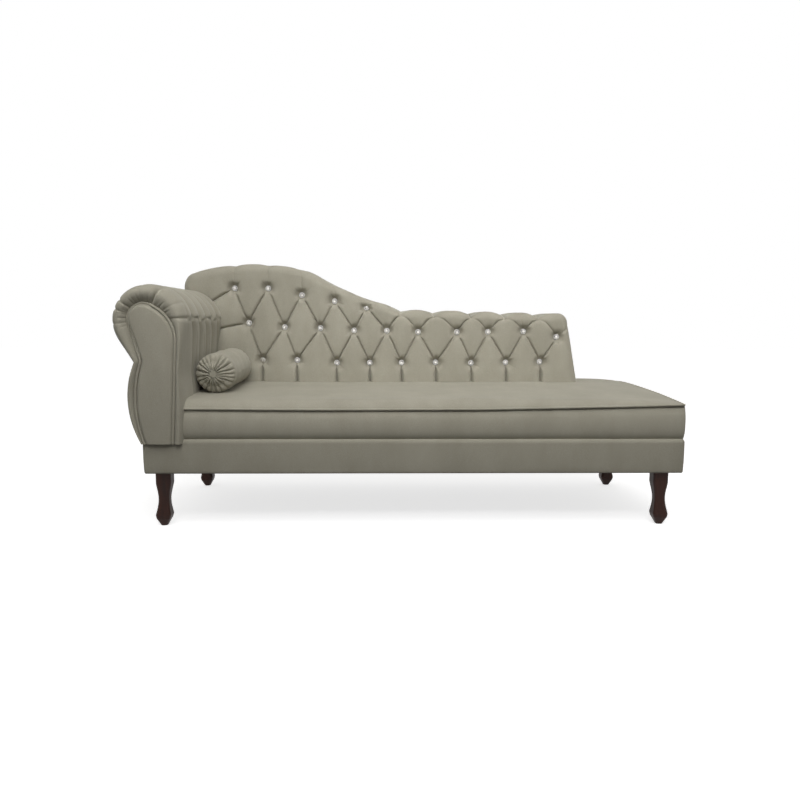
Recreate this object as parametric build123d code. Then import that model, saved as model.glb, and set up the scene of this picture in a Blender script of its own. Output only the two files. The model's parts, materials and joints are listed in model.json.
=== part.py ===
from build123d import *
import math
import os

# A recamier: one rolled arm, a tufted back that falls from high to low, and a loose bolster.
# Millimetres, +Z up. The front looks along -Y, the arm is at -X, and the origin is on the floor
# under the middle of the whole piece.

# whole piece
overall_length = 1850
overall_depth = 680
overall_height = 896
soft_gap = 0.4            # between padded pieces that lie against each other
hole_gap = 0.25           # round bolts and cords, on the radius
past = 1                  # cutting bodies run this far past what they cut

# legs and base
leg_height = 181
leg_inset_left = 52       # leg centres in from the sides of the base
leg_inset_right = 62
leg_inset_front = 50
leg_inset_rear = 58
leg_block = 50            # square block at the top of a leg
leg_block_height = 38
leg_shoulder = 46         # a quarter of the way from the block to the waist
leg_waist = 36
leg_calf = 45             # three quarters of the way from the waist to the ankle
leg_ankle = 50
leg_ankle_height = 36
leg_heel = 46             # where the foot draws in to the toe
leg_heel_height = 25
leg_toe = 22
leg_kick = 4              # toe outward of the leg centre
leg_corner = 9            # rounding of the square section
base_height = 113
arm_overhang = 83         # roll of the arm past the left end of the base
arm_proud = 18            # facing of the arm ahead of the base
band_thick = 6            # padded cloth round the base
rail_thick = 20
dust_thick = 2
corner_block = 90
corner_block_height = 45
cross_rail_thick = 25
cross_rail_height = 55
bearer_thick = 25
bearer_outer = 40         # bearer's edge in from the left end of the base
bearer_inner = 26         # bearer's edge past the inner side of the arm
leg_bolt_radius = 4
leg_bolt_in_leg = 40
tee_radius = 5.5
tee_length = 12
tee_flange_radius = 11
tee_flange = 2
screw_radius = 2.5
screw_margin = 12         # screw in from the side of a corner block
screw_bite = 10           # screw into the end rail
screw_head_radius = 5
screw_head = 3

# seat
seat_roll = 70            # depth over which the top rolls down to its front edge
seat_middle_depth = 380
seat_heights = (98, 131, 144.5, 149)       # front edge, roll, middle and rear above the base
seat_end_heights = (115, 120.3, 135, 136)  # the same at the free end
seat_end_run = 260        # length over which the top runs out to the free end
seat_bulge = 4            # boxed border swells out
cover_thick = 4
welt_radius = 3.2
welt_bend = 200           # easy bend where the front welt starts to rise
strap_width = 60
strap_thick = 1.5
straps_in_bay = 2
long_straps = 4
strap_margin = 10         # strap ends in from the outside of the rails

# back
back_thick = 187          # crest of the tufts ahead of the rear of the base
back_peak_in = 280        # highest point of the top line in from the left end of the base
back_crown_radius = 850
back_left_turn = 15.8
back_left_corner = 58
back_right_turn = 11.5
back_shoulder_radius = 250
back_shoulder_turn = 18.5
back_sweep_radius = 1085
back_sweep_turn = 18.6
back_ease_radius = 150
back_ease_turn = 10.1
back_low_length = 583
back_end_corner = 38
back_end_turn = 78.3
back_edge_round = 34
back_wall = 14            # cover over the edges of the frame
back_foam_thick = 60
back_panel_thick = 12
post_width = 36
post_depth = 45
post_insets = (182, 493, 947, 1413)    # from the left end of the base
post_drop = 55            # lower end of a post below the base top
post_bolt_radius = 4
post_bolt_length = 40
post_bolt_shares = (0.3, 0.7)   # of the post's drop below the base top
post_bolt_head_radius = 7
post_bolt_head = 5
rear_cover_thick = 4

# tufts of the back, as marked out by hand: across from the peak, and down from it
marks_high = ((-80, 94), (49, 94), (179, 119), (306, 142), (430, 166))
marks_middle = ((-28, 227), (111, 243), (250, 246), (381, 255), (509, 256),
                (631, 260), (784, 260), (906, 259), (1046, 257), (1177, 278))
marks_low = ((24, 371), (158, 371), (313, 381), (442, 381), (567, 381),
             (701, 379), (841, 381), (978, 379), (1113, 376))
notch_marks = (564, 694, 837, 970, 1102)    # across from the peak, between the lobes of the low top line
crease_half_width = 48
crease_depth = 17
crease_rise = 28          # creases run this far past the top line
side_marks = ((-188, 158), (-158, 252), (1262, 232))    # outer ends of the creases at the two sides
scallop_half_width = 58   # from a notch to where the lobe is level
scallop_depth = 14
dimple_radius = 42
dimple_floor = 11
dimple_depth = 32
cup_radius = 10
cup_thick = 3
crystal_radius = 9
crystal_table = 5.2
crystal_girdle = 1.5
crystal_height = 6
crystal_sides = 12
cord_radius = 1.5
retainer_radius = 9
retainer_thick = 4
retainer_gap = 1          # round a retainer let into a post

# arm
arm_height = 792
arm_width = 132           # inner side in from the left end of the base
arm_shoulder = 500        # height where the inner side swings out to the roll
roll_radius = 116
roll_end = 215            # angle where the roll leaves for the neck
neck_out = 18
neck_height = 544
belly_out = 43
arm_droop = 12            # front of the arm hangs over the base
arm_nose = 15             # padded front edge ahead of the base
arm_nose_rows = ((0, 20), (4, 10), (9, 4))    # back from the front edge, and drawn in there
arm_skin = 16             # tufted layer of the arm
pleat_depth = 9
pleat_first = 92          # from the base front
pleat_last = 43           # from the rear of the arm
pleat_count = 5
arm_foam_thick = 18
board_thick = 18
board_front = 5           # front board back from the base front
arm_rear_cover_thick = 4  # cloth-covered board that closes the arm behind
slat_width = 36
slat_thick = 14
slat_inset = 3
roll_slat_angles = (80, 150)    # besides the one behind the tufts
bottom_slat_thick = 20
inner_slat_height = 400
arm_tuft_rise = 9
arm_dimple_floor = 8
arm_dimple_depth = 13
arm_dimple_flare = 13
arm_cup_radius = 7.5
arm_cup_thick = 2
arm_crystal_radius = 7
arm_crystal_table = 4
arm_crystal_height = 3.5
arm_crystal_girdle = 1
arm_bolt_radius = 4
arm_bolt_stations = (120, 340)
arm_bolt_head_radius = 7
arm_bolt_head = 5
arm_nut_thick = 6
arm_bolt_past_nut = 2
facing_inner = 30         # facing in from the inner side of the arm
facing_outer = 24         # and from its outer side
facing_roll = 50          # facing in from the roll
facing_drop = 14          # lobe of the facing below the roll's centre
facing_board_thick = 5
facing_rows = ((7, 0), (2.5, 4.2), (0, 14))   # back from the facing's front, and drawn in there
facing_welt = 5.4
facing_welt_thick = 7

# bolster
bolster_radius = 67
bolster_length = 345
bolster_clear = 12.6      # far end ahead of the tufts
bolster_out = 72          # axis away from the inner side of the arm
bolster_tilt = 1.8
bolster_dome = 9
bolster_dome_swell = 0.3  # share of the dome's fall at half way out
bolster_corner = 16
bolster_cover = 4
gather_count = 18
gather_radius = 2.4
gather_inner = 15
end_button_radius = 11
end_button_thick = 5
end_button_sink = 3
end_button_round = 3

# places worked out from the sizes above
left = -overall_length / 2
right = overall_length / 2
rear = overall_depth / 2
base_left = left + arm_overhang
base_front = -overall_depth / 2 + arm_proud
base_top = leg_height + base_height
frame_bottom = leg_height + dust_thick
frame_left = base_left + band_thick
frame_right = right - band_thick
frame_front = base_front + band_thick
frame_rear = rear - band_thick
inner_left = frame_left + rail_thick
inner_right = frame_right - rail_thick
inner_front = frame_front + rail_thick
inner_rear = frame_rear - rail_thick
strap_top = base_top + 2 * strap_thick
arm_inner = base_left + arm_width
back_front = rear - back_thick
panel_rear = frame_rear - post_depth
panel_front = panel_rear - back_panel_thick
foam_front = panel_front - back_foam_thick
arm_rear = back_front - soft_gap
roll_x = left + roll_radius
roll_z = arm_height - roll_radius
first_pleat = base_front + pleat_first
pleat_pitch = (arm_rear - pleat_last - first_pleat) / (pleat_count - 1)
pleats = [first_pleat + pleat_pitch * i for i in range(pleat_count)]
back_peak = base_left + back_peak_in
post_stations = [base_left + inset for inset in post_insets]


def from_peak(marks):
    return [(back_peak + across, overall_height - down) for across, down in marks]


tufts_high, tufts_middle, tufts_low = from_peak(marks_high), from_peak(marks_middle), from_peak(marks_low)
tufts = tufts_high + tufts_middle + tufts_low
notches = [back_peak + across for across in notch_marks]


def block(x, y, z):
    size = [hi - lo for lo, hi in (x, y, z)]
    return Pos(x[0], y[0], z[0]) * Box(*size, align=(Align.MIN, Align.MIN, Align.MIN))


def rod(start, direction, radius, length):
    return Solid.make_cylinder(radius, length, Plane(origin=start, z_dir=direction))


def tube(start, direction, outer, inner, length):
    return rod(start, direction, outer, length) - rod(start, direction, inner, length)


def ring(place, start, moves):
    # closed outline: a move is an end point, or a through point and an end point of an arc
    edges = []
    here = start
    for move in moves + [start]:
        if isinstance(move[0], tuple):
            edges.append(Edge.make_three_point_arc(place(here), place(move[0]), place(move[1])))
            here = move[1]
        elif math.dist(here, move) > 1e-6:
            edges.append(Edge.make_line(place(here), place(move)))
            here = move
    return Wire(edges)


def at_y(y):
    return lambda p: (p[0], y, p[1])


def at_x(x):
    return lambda p: (x, p[0], p[1])


def prism_y(section, y0, y1):
    return Solid.extrude(Face(ring(at_y(y0), *section)), (0, y1 - y0, 0))


def polar(centre, radius, degrees):
    angle = math.radians(degrees)
    return (centre[0] + radius * math.cos(angle), centre[1] + radius * math.sin(angle))


def save(name, *shapes):
    solids = [solid for shape in shapes for solid in shape.solids()]
    export_step(solids[0] if len(solids) == 1 else Compound(solids), f"parts/{name}.step")


# base frame

def base_frame():
    high = (frame_bottom, base_top)
    across = (frame_left, frame_right)
    between = (inner_front, inner_rear)
    save("base_front_rail", block(across, (frame_front, inner_front), high))
    save("base_rear_rail", block(across, (inner_rear, frame_rear), high) - post_bolts(hole_gap))
    screws = Compound([rod(*place) for place in block_screws()])
    save("base_left_rail", block((frame_left, inner_left), between, high) - screws)
    save("base_right_rail", block((inner_right, frame_right), between, high) - screws)
    bays = zip(post_stations[:-1], post_stations[1:])
    half = cross_rail_thick / 2
    low = (frame_bottom, frame_bottom + cross_rail_height)
    middles = [(a + b) / 2 for a, b in bays]
    save("base_cross_rails", *[block((x - half, x + half), between, low) for x in middles])
    bearer = block((base_left + bearer_outer, arm_inner + bearer_inner), between,
                   (base_top - bearer_thick, base_top))
    save("base_arm_bearer", bearer - arm_bolt_shafts(hole_gap))


def corners():
    # leg centre, and the signs that point out of the base
    for sx, x in ((-1, base_left + leg_inset_left), (1, right - leg_inset_right)):
        for sy, y in ((-1, base_front + leg_inset_front), (1, rear - leg_inset_rear)):
            yield x, y, sx, sy


def block_screws():
    # two long screws through each corner block into the end rail: start, direction, radius, length
    height = frame_bottom + corner_block_height / 2
    for x, y, sx, sy in corners():
        side = inner_left + corner_block if sx < 0 else inner_right - corner_block
        block_front = inner_front if sy < 0 else inner_rear - corner_block
        for along in (screw_margin, corner_block - screw_margin):
            yield (side, block_front + along, height), (sx, 0, 0), screw_radius, corner_block + screw_bite


def base_corners():
    top = frame_bottom + corner_block_height
    blocks, bolts, nuts = [], [], []
    shanks = [rod(*place) for place in block_screws()]
    for x, y, sx, sy in corners():
        x0 = inner_left if sx < 0 else inner_right - corner_block
        y0 = inner_front if sy < 0 else inner_rear - corner_block
        piece = block((x0, x0 + corner_block), (y0, y0 + corner_block), (frame_bottom, top))
        piece -= rod((x, y, frame_bottom), (0, 0, 1), leg_bolt_radius + hole_gap, corner_block_height)
        piece -= rod((x, y, top - tee_length), (0, 0, 1), tee_radius + hole_gap, tee_length)
        bolts.append(rod((x, y, leg_height - leg_bolt_in_leg), (0, 0, 1), leg_bolt_radius,
                         leg_bolt_in_leg + dust_thick + corner_block_height - tee_flange))
        nut = rod((x, y, top - tee_length), (0, 0, 1), tee_radius, tee_length)
        nut += rod((x, y, top), (0, 0, 1), tee_flange_radius, tee_flange)
        nuts.append(nut - rod((x, y, top - tee_length), (0, 0, 1), leg_bolt_radius + hole_gap,
                              tee_length + tee_flange))
        blocks.append(piece - Compound(shanks))
    heads = [rod(start, (-out[0], 0, 0), screw_head_radius, screw_head)
             for start, out, radius, length in block_screws()]
    save("base_corner_blocks", *blocks)
    save("base_block_screws", *[shank + head for shank, head in zip(shanks, heads)])
    save("leg_hanger_bolts", *bolts)
    save("leg_tee_nuts", *nuts)


def base_covers():
    high = (leg_height, base_top)
    sides = (base_front + band_thick, rear - band_thick)
    bands = [block((base_left, right), (base_front, frame_front), high),
             block((base_left, right), (frame_rear, rear), high),
             block((base_left, frame_left), sides, high),
             block((frame_right, right), sides, high)]
    strip = back_left() - soft_gap
    if strip > base_left + past:
        # top of the base that the back leaves open behind the arm
        bands.append(block((base_left, strip), (arm_rear, rear), (base_top, base_top + dust_thick)))
    save("base_cover_bands", *bands)
    dust = block((frame_left, frame_right), (frame_front, frame_rear), (leg_height, frame_bottom))
    for x, y, sx, sy in corners():
        dust -= rod((x, y, leg_height), (0, 0, 1), leg_bolt_radius + hole_gap, dust_thick)
    save("base_dust_cover", dust)


# legs

def leg_section(x, y, z, width):
    half = width / 2
    flat = half - leg_corner
    bow = half - leg_corner * (1 - math.sqrt(0.5))
    start = (-flat, -half)
    moves = [(flat, -half), ((bow, -bow), (half, -flat)), (half, flat), ((bow, bow), (flat, half)),
             (-flat, half), ((-bow, bow), (-half, flat)), (-half, -flat), ((-bow, -bow), start)]
    return ring(lambda p: (x + p[0], y + p[1], z), start, moves)


def leg(x, y, sx, sy):
    # each row: height, width
    shaft = leg_height - leg_block_height
    waist = (shaft + leg_ankle_height) / 2
    rows = [(shaft, leg_block), ((shaft * 3 + waist) / 4, leg_shoulder), (waist, leg_waist),
            ((waist + leg_ankle_height * 3) / 4, leg_calf), (leg_ankle_height, leg_ankle)]

    def wire(height, width):
        # the kick starts below the block and is whole at the toe
        kick = leg_kick * max(0, 1 - height / shaft)
        return leg_section(x + sx * kick, y + sy * kick, height, width)

    top = Solid.make_loft([wire(leg_height, leg_block), wire(*rows[0])], True)
    middle = Solid.make_loft([wire(*row) for row in rows])
    toe = Solid.make_loft([wire(*rows[-1]), wire(leg_heel_height, leg_heel), wire(0, leg_toe)], True)
    hole = rod((x, y, leg_height - leg_bolt_in_leg), (0, 0, 1), leg_bolt_radius + hole_gap, leg_bolt_in_leg)
    return top + middle + toe - hole


def legs():
    for x, y, sx, sy in corners():
        name = ("front" if sy < 0 else "rear") + ("_left" if sx < 0 else "_right") + "_leg"
        save(name, leg(x, y, sx, sy))


# seat

def arc_circle(a, b, c):
    # centre and radius of the circle through three points
    d = 2 * (a[0] * (b[1] - c[1]) + b[0] * (c[1] - a[1]) + c[0] * (a[1] - b[1]))
    squares = [p[0] ** 2 + p[1] ** 2 for p in (a, b, c)]
    u = (squares[0] * (b[1] - c[1]) + squares[1] * (c[1] - a[1]) + squares[2] * (a[1] - b[1])) / d
    v = (squares[0] * (c[0] - b[0]) + squares[1] * (a[0] - c[0]) + squares[2] * (b[0] - a[0])) / d
    return (u, v), math.dist((u, v), a)


def seat_top(heights, inset):
    # front edge, end of the roll, middle and rear edge of the seat's top
    depths = (base_front + inset, base_front + seat_roll, base_front + seat_middle_depth, rear - inset)
    return [(y, base_top + z - inset) for y, z in zip(depths, heights)]


def roll_middle(edge, roll, middle, back):
    # middle of the arc from the edge that runs smoothly into the arc of the top
    (u, v), _ = arc_circle(roll, middle, back)
    heading = math.atan2(roll[1] - edge[1], roll[0] - edge[0])
    level = math.atan2(u - roll[0], roll[1] - v)
    sag = math.dist(edge, roll) / 2 * math.tan((heading - level) / 2)
    half = ((edge[0] + roll[0]) / 2, (edge[1] + roll[1]) / 2)
    return half[0] - sag * math.sin(heading), half[1] + sag * math.cos(heading)


def seat_section(heights, inset, bottom):
    edge, roll, middle, back = seat_top(heights, inset)
    swell = (edge[0] - seat_bulge, base_top + heights[0] / 2)
    return (edge[0], bottom), [(swell, edge), (roll_middle(edge, roll, middle, back), roll), (middle, back),
                               (back[0], bottom)]


def seat_body(inset, bottom):
    main = seat_section(seat_heights, inset, bottom)
    end = seat_section(seat_end_heights, inset, bottom)
    start = arm_inner + soft_gap + inset
    turn = right - seat_end_run
    body = Solid.extrude(Face(ring(at_x(start), *main)), (turn - start, 0, 0))
    body += Solid.make_loft([ring(at_x(turn), *main), ring(at_x(right - inset), *end)], True)
    return body - prism_y(back_section(-soft_gap - inset, bottom - past), back_front - soft_gap - inset,
                          rear + past)


def seat_welt(radius, lead=0):
    # lead: how far a groove starts before the cord itself
    y = base_front + welt_radius
    turn = right - seat_end_run
    seam = base_top + seat_heights[0] - welt_radius
    start = (arm_inner + soft_gap - lead, y, seam)
    end = (right - welt_radius, y, base_top + seat_end_heights[0] - welt_radius)
    front = FilletPolyline(start, (turn, y, seam), end, radius=welt_bend)
    # the free end's welt follows the arc of the top there, from just behind the front one
    arc = seat_top(seat_end_heights, welt_radius)
    whole = Edge.make_three_point_arc(*[at_x(end[0])(arc[i]) for i in (0, 2, 3)])
    side = Edge.make_three_point_arc(whole @ (3 * welt_radius / whole.length), whole @ 0.5, whole @ 1)
    runs = []
    for path in (Wire(front.edges()), Wire([side])):
        disc = Face(Wire(Edge.make_circle(radius, Plane(origin=path @ 0, z_dir=path % 0))))
        runs.append(Solid.sweep(disc, path))
    return Compound(runs)


def seat():
    clear_straps = block((arm_inner + strap_margin, frame_right - strap_margin + soft_gap),
                         (frame_front + strap_margin - soft_gap, frame_rear - strap_margin + soft_gap),
                         (base_top - past, strap_top + soft_gap))
    cover = seat_body(0, base_top) - seat_body(cover_thick, base_top - past) - clear_straps
    foam = seat_body(cover_thick + soft_gap, strap_top)
    for groove in seat_welt(welt_radius + soft_gap, past).solids():
        cover -= groove
        foam -= groove
    save("seat_cover", max(cover.solids(), key=lambda s: s.volume))
    save("seat_foam", max(foam.solids(), key=lambda s: s.volume))
    save("seat_welt", seat_welt(welt_radius))


def seat_webbing():
    ends = post_stations + [frame_right]
    lower = (base_top, base_top + strap_thick)
    cross = []
    for a, b in zip(ends[:-1], ends[1:]):
        for i in range(straps_in_bay):
            x = a + (b - a) * (i + 1) / (straps_in_bay + 1)
            cross.append(block((x - strap_width / 2, x + strap_width / 2),
                               (frame_front + strap_margin, frame_rear - strap_margin), lower))
    save("seat_webbing_cross", *cross)
    upper = (lower[1], strap_top)
    span = (arm_inner + soft_gap + strap_margin, frame_right - strap_margin)
    step = (panel_front - inner_front) / long_straps
    long = []
    for i in range(long_straps):
        y = inner_front + step * (i + 0.5)
        long.append(block(span, (y - strap_width / 2, y + strap_width / 2), upper))
    save("seat_webbing_long", *long)


# back

def bend(here, heading, radius, turn):
    # an arc from a point along a heading: through point, end point, heading after it (degrees)
    side = 1 if turn > 0 else -1
    centre = polar(here, radius, heading + 90 * side)
    half = polar(centre, radius, heading - 90 * side + turn / 2)
    return half, polar(centre, radius, heading - 90 * side + turn), heading + turn


def back_section(inset, bottom):
    peak = (back_peak, overall_height - inset)
    moves = []
    here, heading = peak, 0
    for radius, turn in ((back_crown_radius - inset, -back_right_turn),
                         (back_shoulder_radius - inset, -back_shoulder_turn),
                         (back_sweep_radius + inset, back_sweep_turn),
                         (back_ease_radius + inset, back_ease_turn)):
        half, here, heading = bend(here, heading, radius, turn)
        moves.append((half, here))
    here = polar(here, back_low_length, heading)
    moves.append(here)
    half, here, heading = bend(here, heading, back_end_corner - inset, -back_end_turn)
    moves.append((half, here))
    slope = math.tan(math.radians(heading))
    moves.append((here[0] + (bottom - here[1]) / slope, bottom))
    first, shoulder, heading = bend(peak, 180, back_crown_radius - inset, back_left_turn)
    second, side, heading = bend(shoulder, heading, back_left_corner - inset, 90 - back_left_turn)
    moves += [(side[0], bottom), side, (second, shoulder), (first, peak)]
    return peak, moves


def back_left():
    return back_section(0, base_top)[1][-3][0]


def low_top_line(x):
    # height of the straight low part of the top line
    moves = back_section(0, base_top)[1]
    start, end = moves[3][1], moves[4]
    return start[1] + (x - start[0]) * (end[1] - start[1]) / (end[0] - start[0])


def flank(half_width, depth):
    # middle of an arc that leaves the surface level at half_width and falls to depth at 0
    radius = (half_width ** 2 + depth ** 2) / (2 * depth)
    angle = math.asin(half_width / radius) / 2
    return half_width - radius * math.sin(angle), radius - radius * math.cos(angle)


def crease(p, q):
    length = math.dist(p, q)
    along = ((q[0] - p[0]) / length, (q[1] - p[1]) / length)
    u, v = flank(crease_half_width, crease_depth)
    wide, lift = crease_half_width, -dimple_depth

    def place(s):
        return (p[0] - along[1] * s[0], back_front + s[1], p[1] + along[0] * s[0])

    section = ring(place, (-wide, lift), [(-wide, 0), ((-u, v), (0, crease_depth)), ((u, v), (wide, 0)),
                                          (wide, lift)])
    return Solid.extrude(Face(section), (along[0] * length, 0, along[1] * length))


def scallop(x):
    u, v = flank(scallop_half_width, scallop_depth)
    wide, top = scallop_half_width, low_top_line(x)
    bottom = (x, top - scallop_depth)
    section = ((x - wide, top + crease_rise),
               [(x - wide, top), ((x - u, top - v), bottom), ((x + u, top - v), (x + wide, top)),
                (x + wide, top + crease_rise)])
    return prism_y(section, back_front - past, frame_rear + past)


def dimple(p):
    span = dimple_radius - dimple_floor
    u, v = flank(span, dimple_depth)
    place = lambda s: (p[0] + s[0], back_front + s[1], p[1])
    lift = -dimple_depth
    floor = (dimple_floor, dimple_depth)
    section = ring(place, (0, lift), [(dimple_radius, lift), (dimple_radius, 0),
                                      ((dimple_floor + u, v), floor), (0, dimple_depth)])
    return Solid.revolve(Face(section), 360, Axis((p[0], back_front, p[1]), (0, 1, 0)))


def creases():
    seat_line = base_top + seat_heights[2] - crease_rise
    for i, p in enumerate(tufts_low):
        yield p, tufts_middle[i]
        yield p, tufts_middle[i + 1]
        yield p, (p[0], seat_line)
    for i, x in enumerate(notches, len(tufts_high) - 1):
        notch = (x, low_top_line(x) + crease_rise)
        yield tufts_middle[i], notch
        yield tufts_middle[i + 1], notch
    for i, p in enumerate(tufts_high):
        yield p, tufts_middle[i]
        yield p, (p[0], overall_height + crease_rise)
        if i:
            yield p, tufts_middle[i - 1]
    yield from zip((tufts_high[0], tufts_middle[0], tufts_middle[-1]), from_peak(side_marks))


def tuft_rods(radius, y0, y1):
    return [rod((x, y0, z), (0, 1, 0), radius, y1 - y0) for x, z in tufts]


def back_posts():
    shape = prism_y(back_section(back_wall + soft_gap, base_top - post_drop), panel_rear, frame_rear)
    notch = block((base_left, right), (inner_rear, rear), (leg_height, base_top))
    pockets = tuft_rods(retainer_radius + retainer_gap, panel_rear,
                        panel_rear + retainer_thick + retainer_gap)
    bolts = post_bolts(hole_gap)
    posts = []
    for x in post_stations:
        post = block((x - post_width / 2, x + post_width / 2), (panel_rear, frame_rear),
                     (base_top - post_drop, overall_height))
        post = (post & shape) - notch - bolts
        near = [hole for hole, tuft in zip(pockets, tufts) if abs(tuft[0] - x) < post_width]
        for hole in near:
            post -= hole
        posts.append(post)
    save("back_posts", *posts)
    save("back_post_bolts", post_bolts(0))


def post_bolts(gap):
    bolts = []
    for x in post_stations:
        for share in post_bolt_shares:
            z = base_top - post_drop * share
            shaft = rod((x, panel_rear, z), (0, 1, 0), post_bolt_radius + gap, post_bolt_length + gap)
            head = rod((x, panel_rear, z), (0, -1, 0), post_bolt_head_radius, post_bolt_head)
            bolts.append(shaft + head)
    return Compound([s for bolt in bolts for s in bolt.solids()])


def back_frame():
    bottom = strap_top + soft_gap
    inside = back_section(back_wall + soft_gap, bottom)
    holes = cord_radius + hole_gap
    panel = prism_y(inside, panel_front, panel_rear)
    foam = prism_y(inside, foam_front, panel_front)
    panel_holes = tuft_rods(holes, panel_front, panel_rear)
    foam_holes = tuft_rods(holes, foam_front, panel_front)
    save("back_panel", panel.cut(*panel_holes))
    save("back_foam", foam.cut(*foam_holes))
    save("back_rear_cover", prism_y(back_section(scallop_depth + past, base_top + soft_gap), frame_rear,
                                    frame_rear + rear_cover_thick))


def back_cover():
    bottom = strap_top + soft_gap
    pad = prism_y(back_section(0, bottom), back_front, frame_rear)
    rim = [e for e in pad.edges() if abs(e.center().Y - back_front) < 1e-3 and e.center().Z > bottom + past]
    pad = pad.fillet(back_edge_round, rim)
    pad -= prism_y(back_section(back_wall, bottom - past), foam_front - soft_gap, frame_rear + past)
    for x in notches:
        pad -= scallop(x)
    for p, q in creases():
        pad -= crease(p, q)
    for p in tufts:
        pad -= dimple(p)
    for hole in tuft_rods(cord_radius + hole_gap, back_front, foam_front):
        pad -= hole
    solids = pad.solids()
    save("back_tufted_cover", max(solids, key=lambda s: s.volume))


def cut_stone(place, girdle_radius, table_radius, height, girdle):
    # a faceted stone: straight girdle, sloped crown, flat table
    def polygon(radius, lift):
        points = [polar((0, 0), radius, 360 * (i + 0.5) / crystal_sides) for i in range(crystal_sides)]
        return ring(lambda p: tuple(place.from_local_coords(Vector(p[0], p[1], lift))), points[0], points[1:])

    stone = Solid.make_loft([polygon(girdle_radius, 0), polygon(girdle_radius, girdle)], True)
    return stone + Solid.make_loft([polygon(girdle_radius, girdle), polygon(table_radius, height)], True)


def back_buttons():
    floor = back_front + dimple_depth
    cups, stones = [], []
    for x, z in tufts:
        cups.append(rod((x, floor, z), (0, -1, 0), cup_radius, cup_thick))
        stones.append(cut_stone(Plane(origin=(x, floor - cup_thick, z), z_dir=(0, -1, 0)),
                                crystal_radius, crystal_table, crystal_height, crystal_girdle))
    save("back_button_cups", *cups)
    save("back_button_crystals", *stones)
    save("back_tuft_cords", *tuft_rods(cord_radius, floor, panel_rear))
    save("back_cord_retainers", *tuft_rods(retainer_radius, panel_rear, panel_rear + retainer_thick))


# arm

def arm_section(inner, roll, outer, bottom, drop=0):
    # outline of the arm, drawn in by its own amount at the inner side, the roll and the outer side
    centre = (roll_x, roll_z - drop)
    radius = roll_radius - roll
    side = arm_inner - inner
    top = roll_end / 2
    start = (base_left + outer, bottom)
    belly = (base_left - belly_out + outer, (base_top + neck_height) / 2)
    return start, [(side, bottom), (side, arm_shoulder), polar(centre, radius, 0),
                   (polar(centre, radius, top / 2), polar(centre, radius, top)),
                   (polar(centre, radius, top * 1.5), polar(centre, radius, roll_end)),
                   (base_left - neck_out + outer, neck_height), (belly, start)]


def arm_shell(inset, y0, y1, bottom=base_top):
    return prism_y(arm_section(inset, inset, inset, bottom), y0, y1)


def arm_loft(rows, bottom):
    # rows: place along Y and how far the cover is drawn in there
    return [ring(at_y(y), *arm_section(d, d, d * share, bottom)) for y, d, share in rows]


def arm_cover():
    nose = base_front - arm_nose
    droop = base_top - arm_droop
    rows = [(nose + y, drawn, 1) for y, drawn in arm_nose_rows] + [(base_front, 0, 1)]
    body = Solid.make_loft(arm_loft(rows, droop), True)
    ends = [base_front] + pleats + [arm_rear]
    for a, b in zip(ends[:-1], ends[1:]):
        # a channel swells between two pleats; the first one runs level from the nose
        if a == base_front:
            rows = [(a, 0, 0), ((a + b) / 2, pleat_depth / 4, 0), (b, pleat_depth, 0)]
        else:
            rows = [(a, pleat_depth, 0), ((a + b) / 2, 0, 0), (b, pleat_depth, 0)]
        body += Solid.make_loft(arm_loft(rows, base_top))
    cavity_front = base_front + board_front
    body -= arm_shell(arm_skin, cavity_front, arm_rear + past, base_top - past)
    body -= prism_y(facing_section(facing_welt + soft_gap, droop - past), nose - past, cavity_front + past)
    for y in pleats:
        body -= arm_tuft_cone(y)
        body -= arm_rod(y, cord_radius + hole_gap, roll_radius - arm_skin - past, arm_dimple_depth)
    return max(body.solids(), key=lambda s: s.volume)


def arm_tuft_axis():
    angle = math.asin(arm_tuft_rise / roll_radius)
    return math.cos(angle), math.sin(angle)


def arm_rod(y, radius, start, length):
    # a rod along a tuft's axis, from a distance out of the roll's centre
    dx, dz = arm_tuft_axis()
    return rod((roll_x + dx * start, y, roll_z + dz * start), (dx, 0, dz), radius, length)


def arm_tuft_cone(y):
    dx, dz = arm_tuft_axis()
    floor = roll_radius - arm_dimple_depth
    plane = Plane(origin=(roll_x + dx * floor, y, roll_z + dz * floor), z_dir=(dx, 0, dz))
    mouth = arm_dimple_floor + arm_dimple_flare
    return Solid.make_cone(arm_dimple_floor, mouth, arm_dimple_depth + past, plane)


def arm_buttons():
    dx, dz = arm_tuft_axis()
    floor = roll_radius - arm_dimple_depth
    seat_at = floor + arm_cup_thick
    slat_face = roll_radius - arm_skin - arm_foam_thick - 2 * soft_gap - slat_inset
    save("arm_button_cups", *[arm_rod(y, arm_cup_radius, floor, arm_cup_thick) for y in pleats])
    stones = []
    for y in pleats:
        plane = Plane(origin=(roll_x + dx * seat_at, y, roll_z + dz * seat_at), z_dir=(dx, 0, dz))
        stones.append(cut_stone(plane, arm_crystal_radius, arm_crystal_table, arm_crystal_height,
                                arm_crystal_girdle))
    save("arm_button_crystals", *stones)
    save("arm_tuft_cords", *[arm_rod(y, cord_radius, slat_face, floor - slat_face) for y in pleats])


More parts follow.
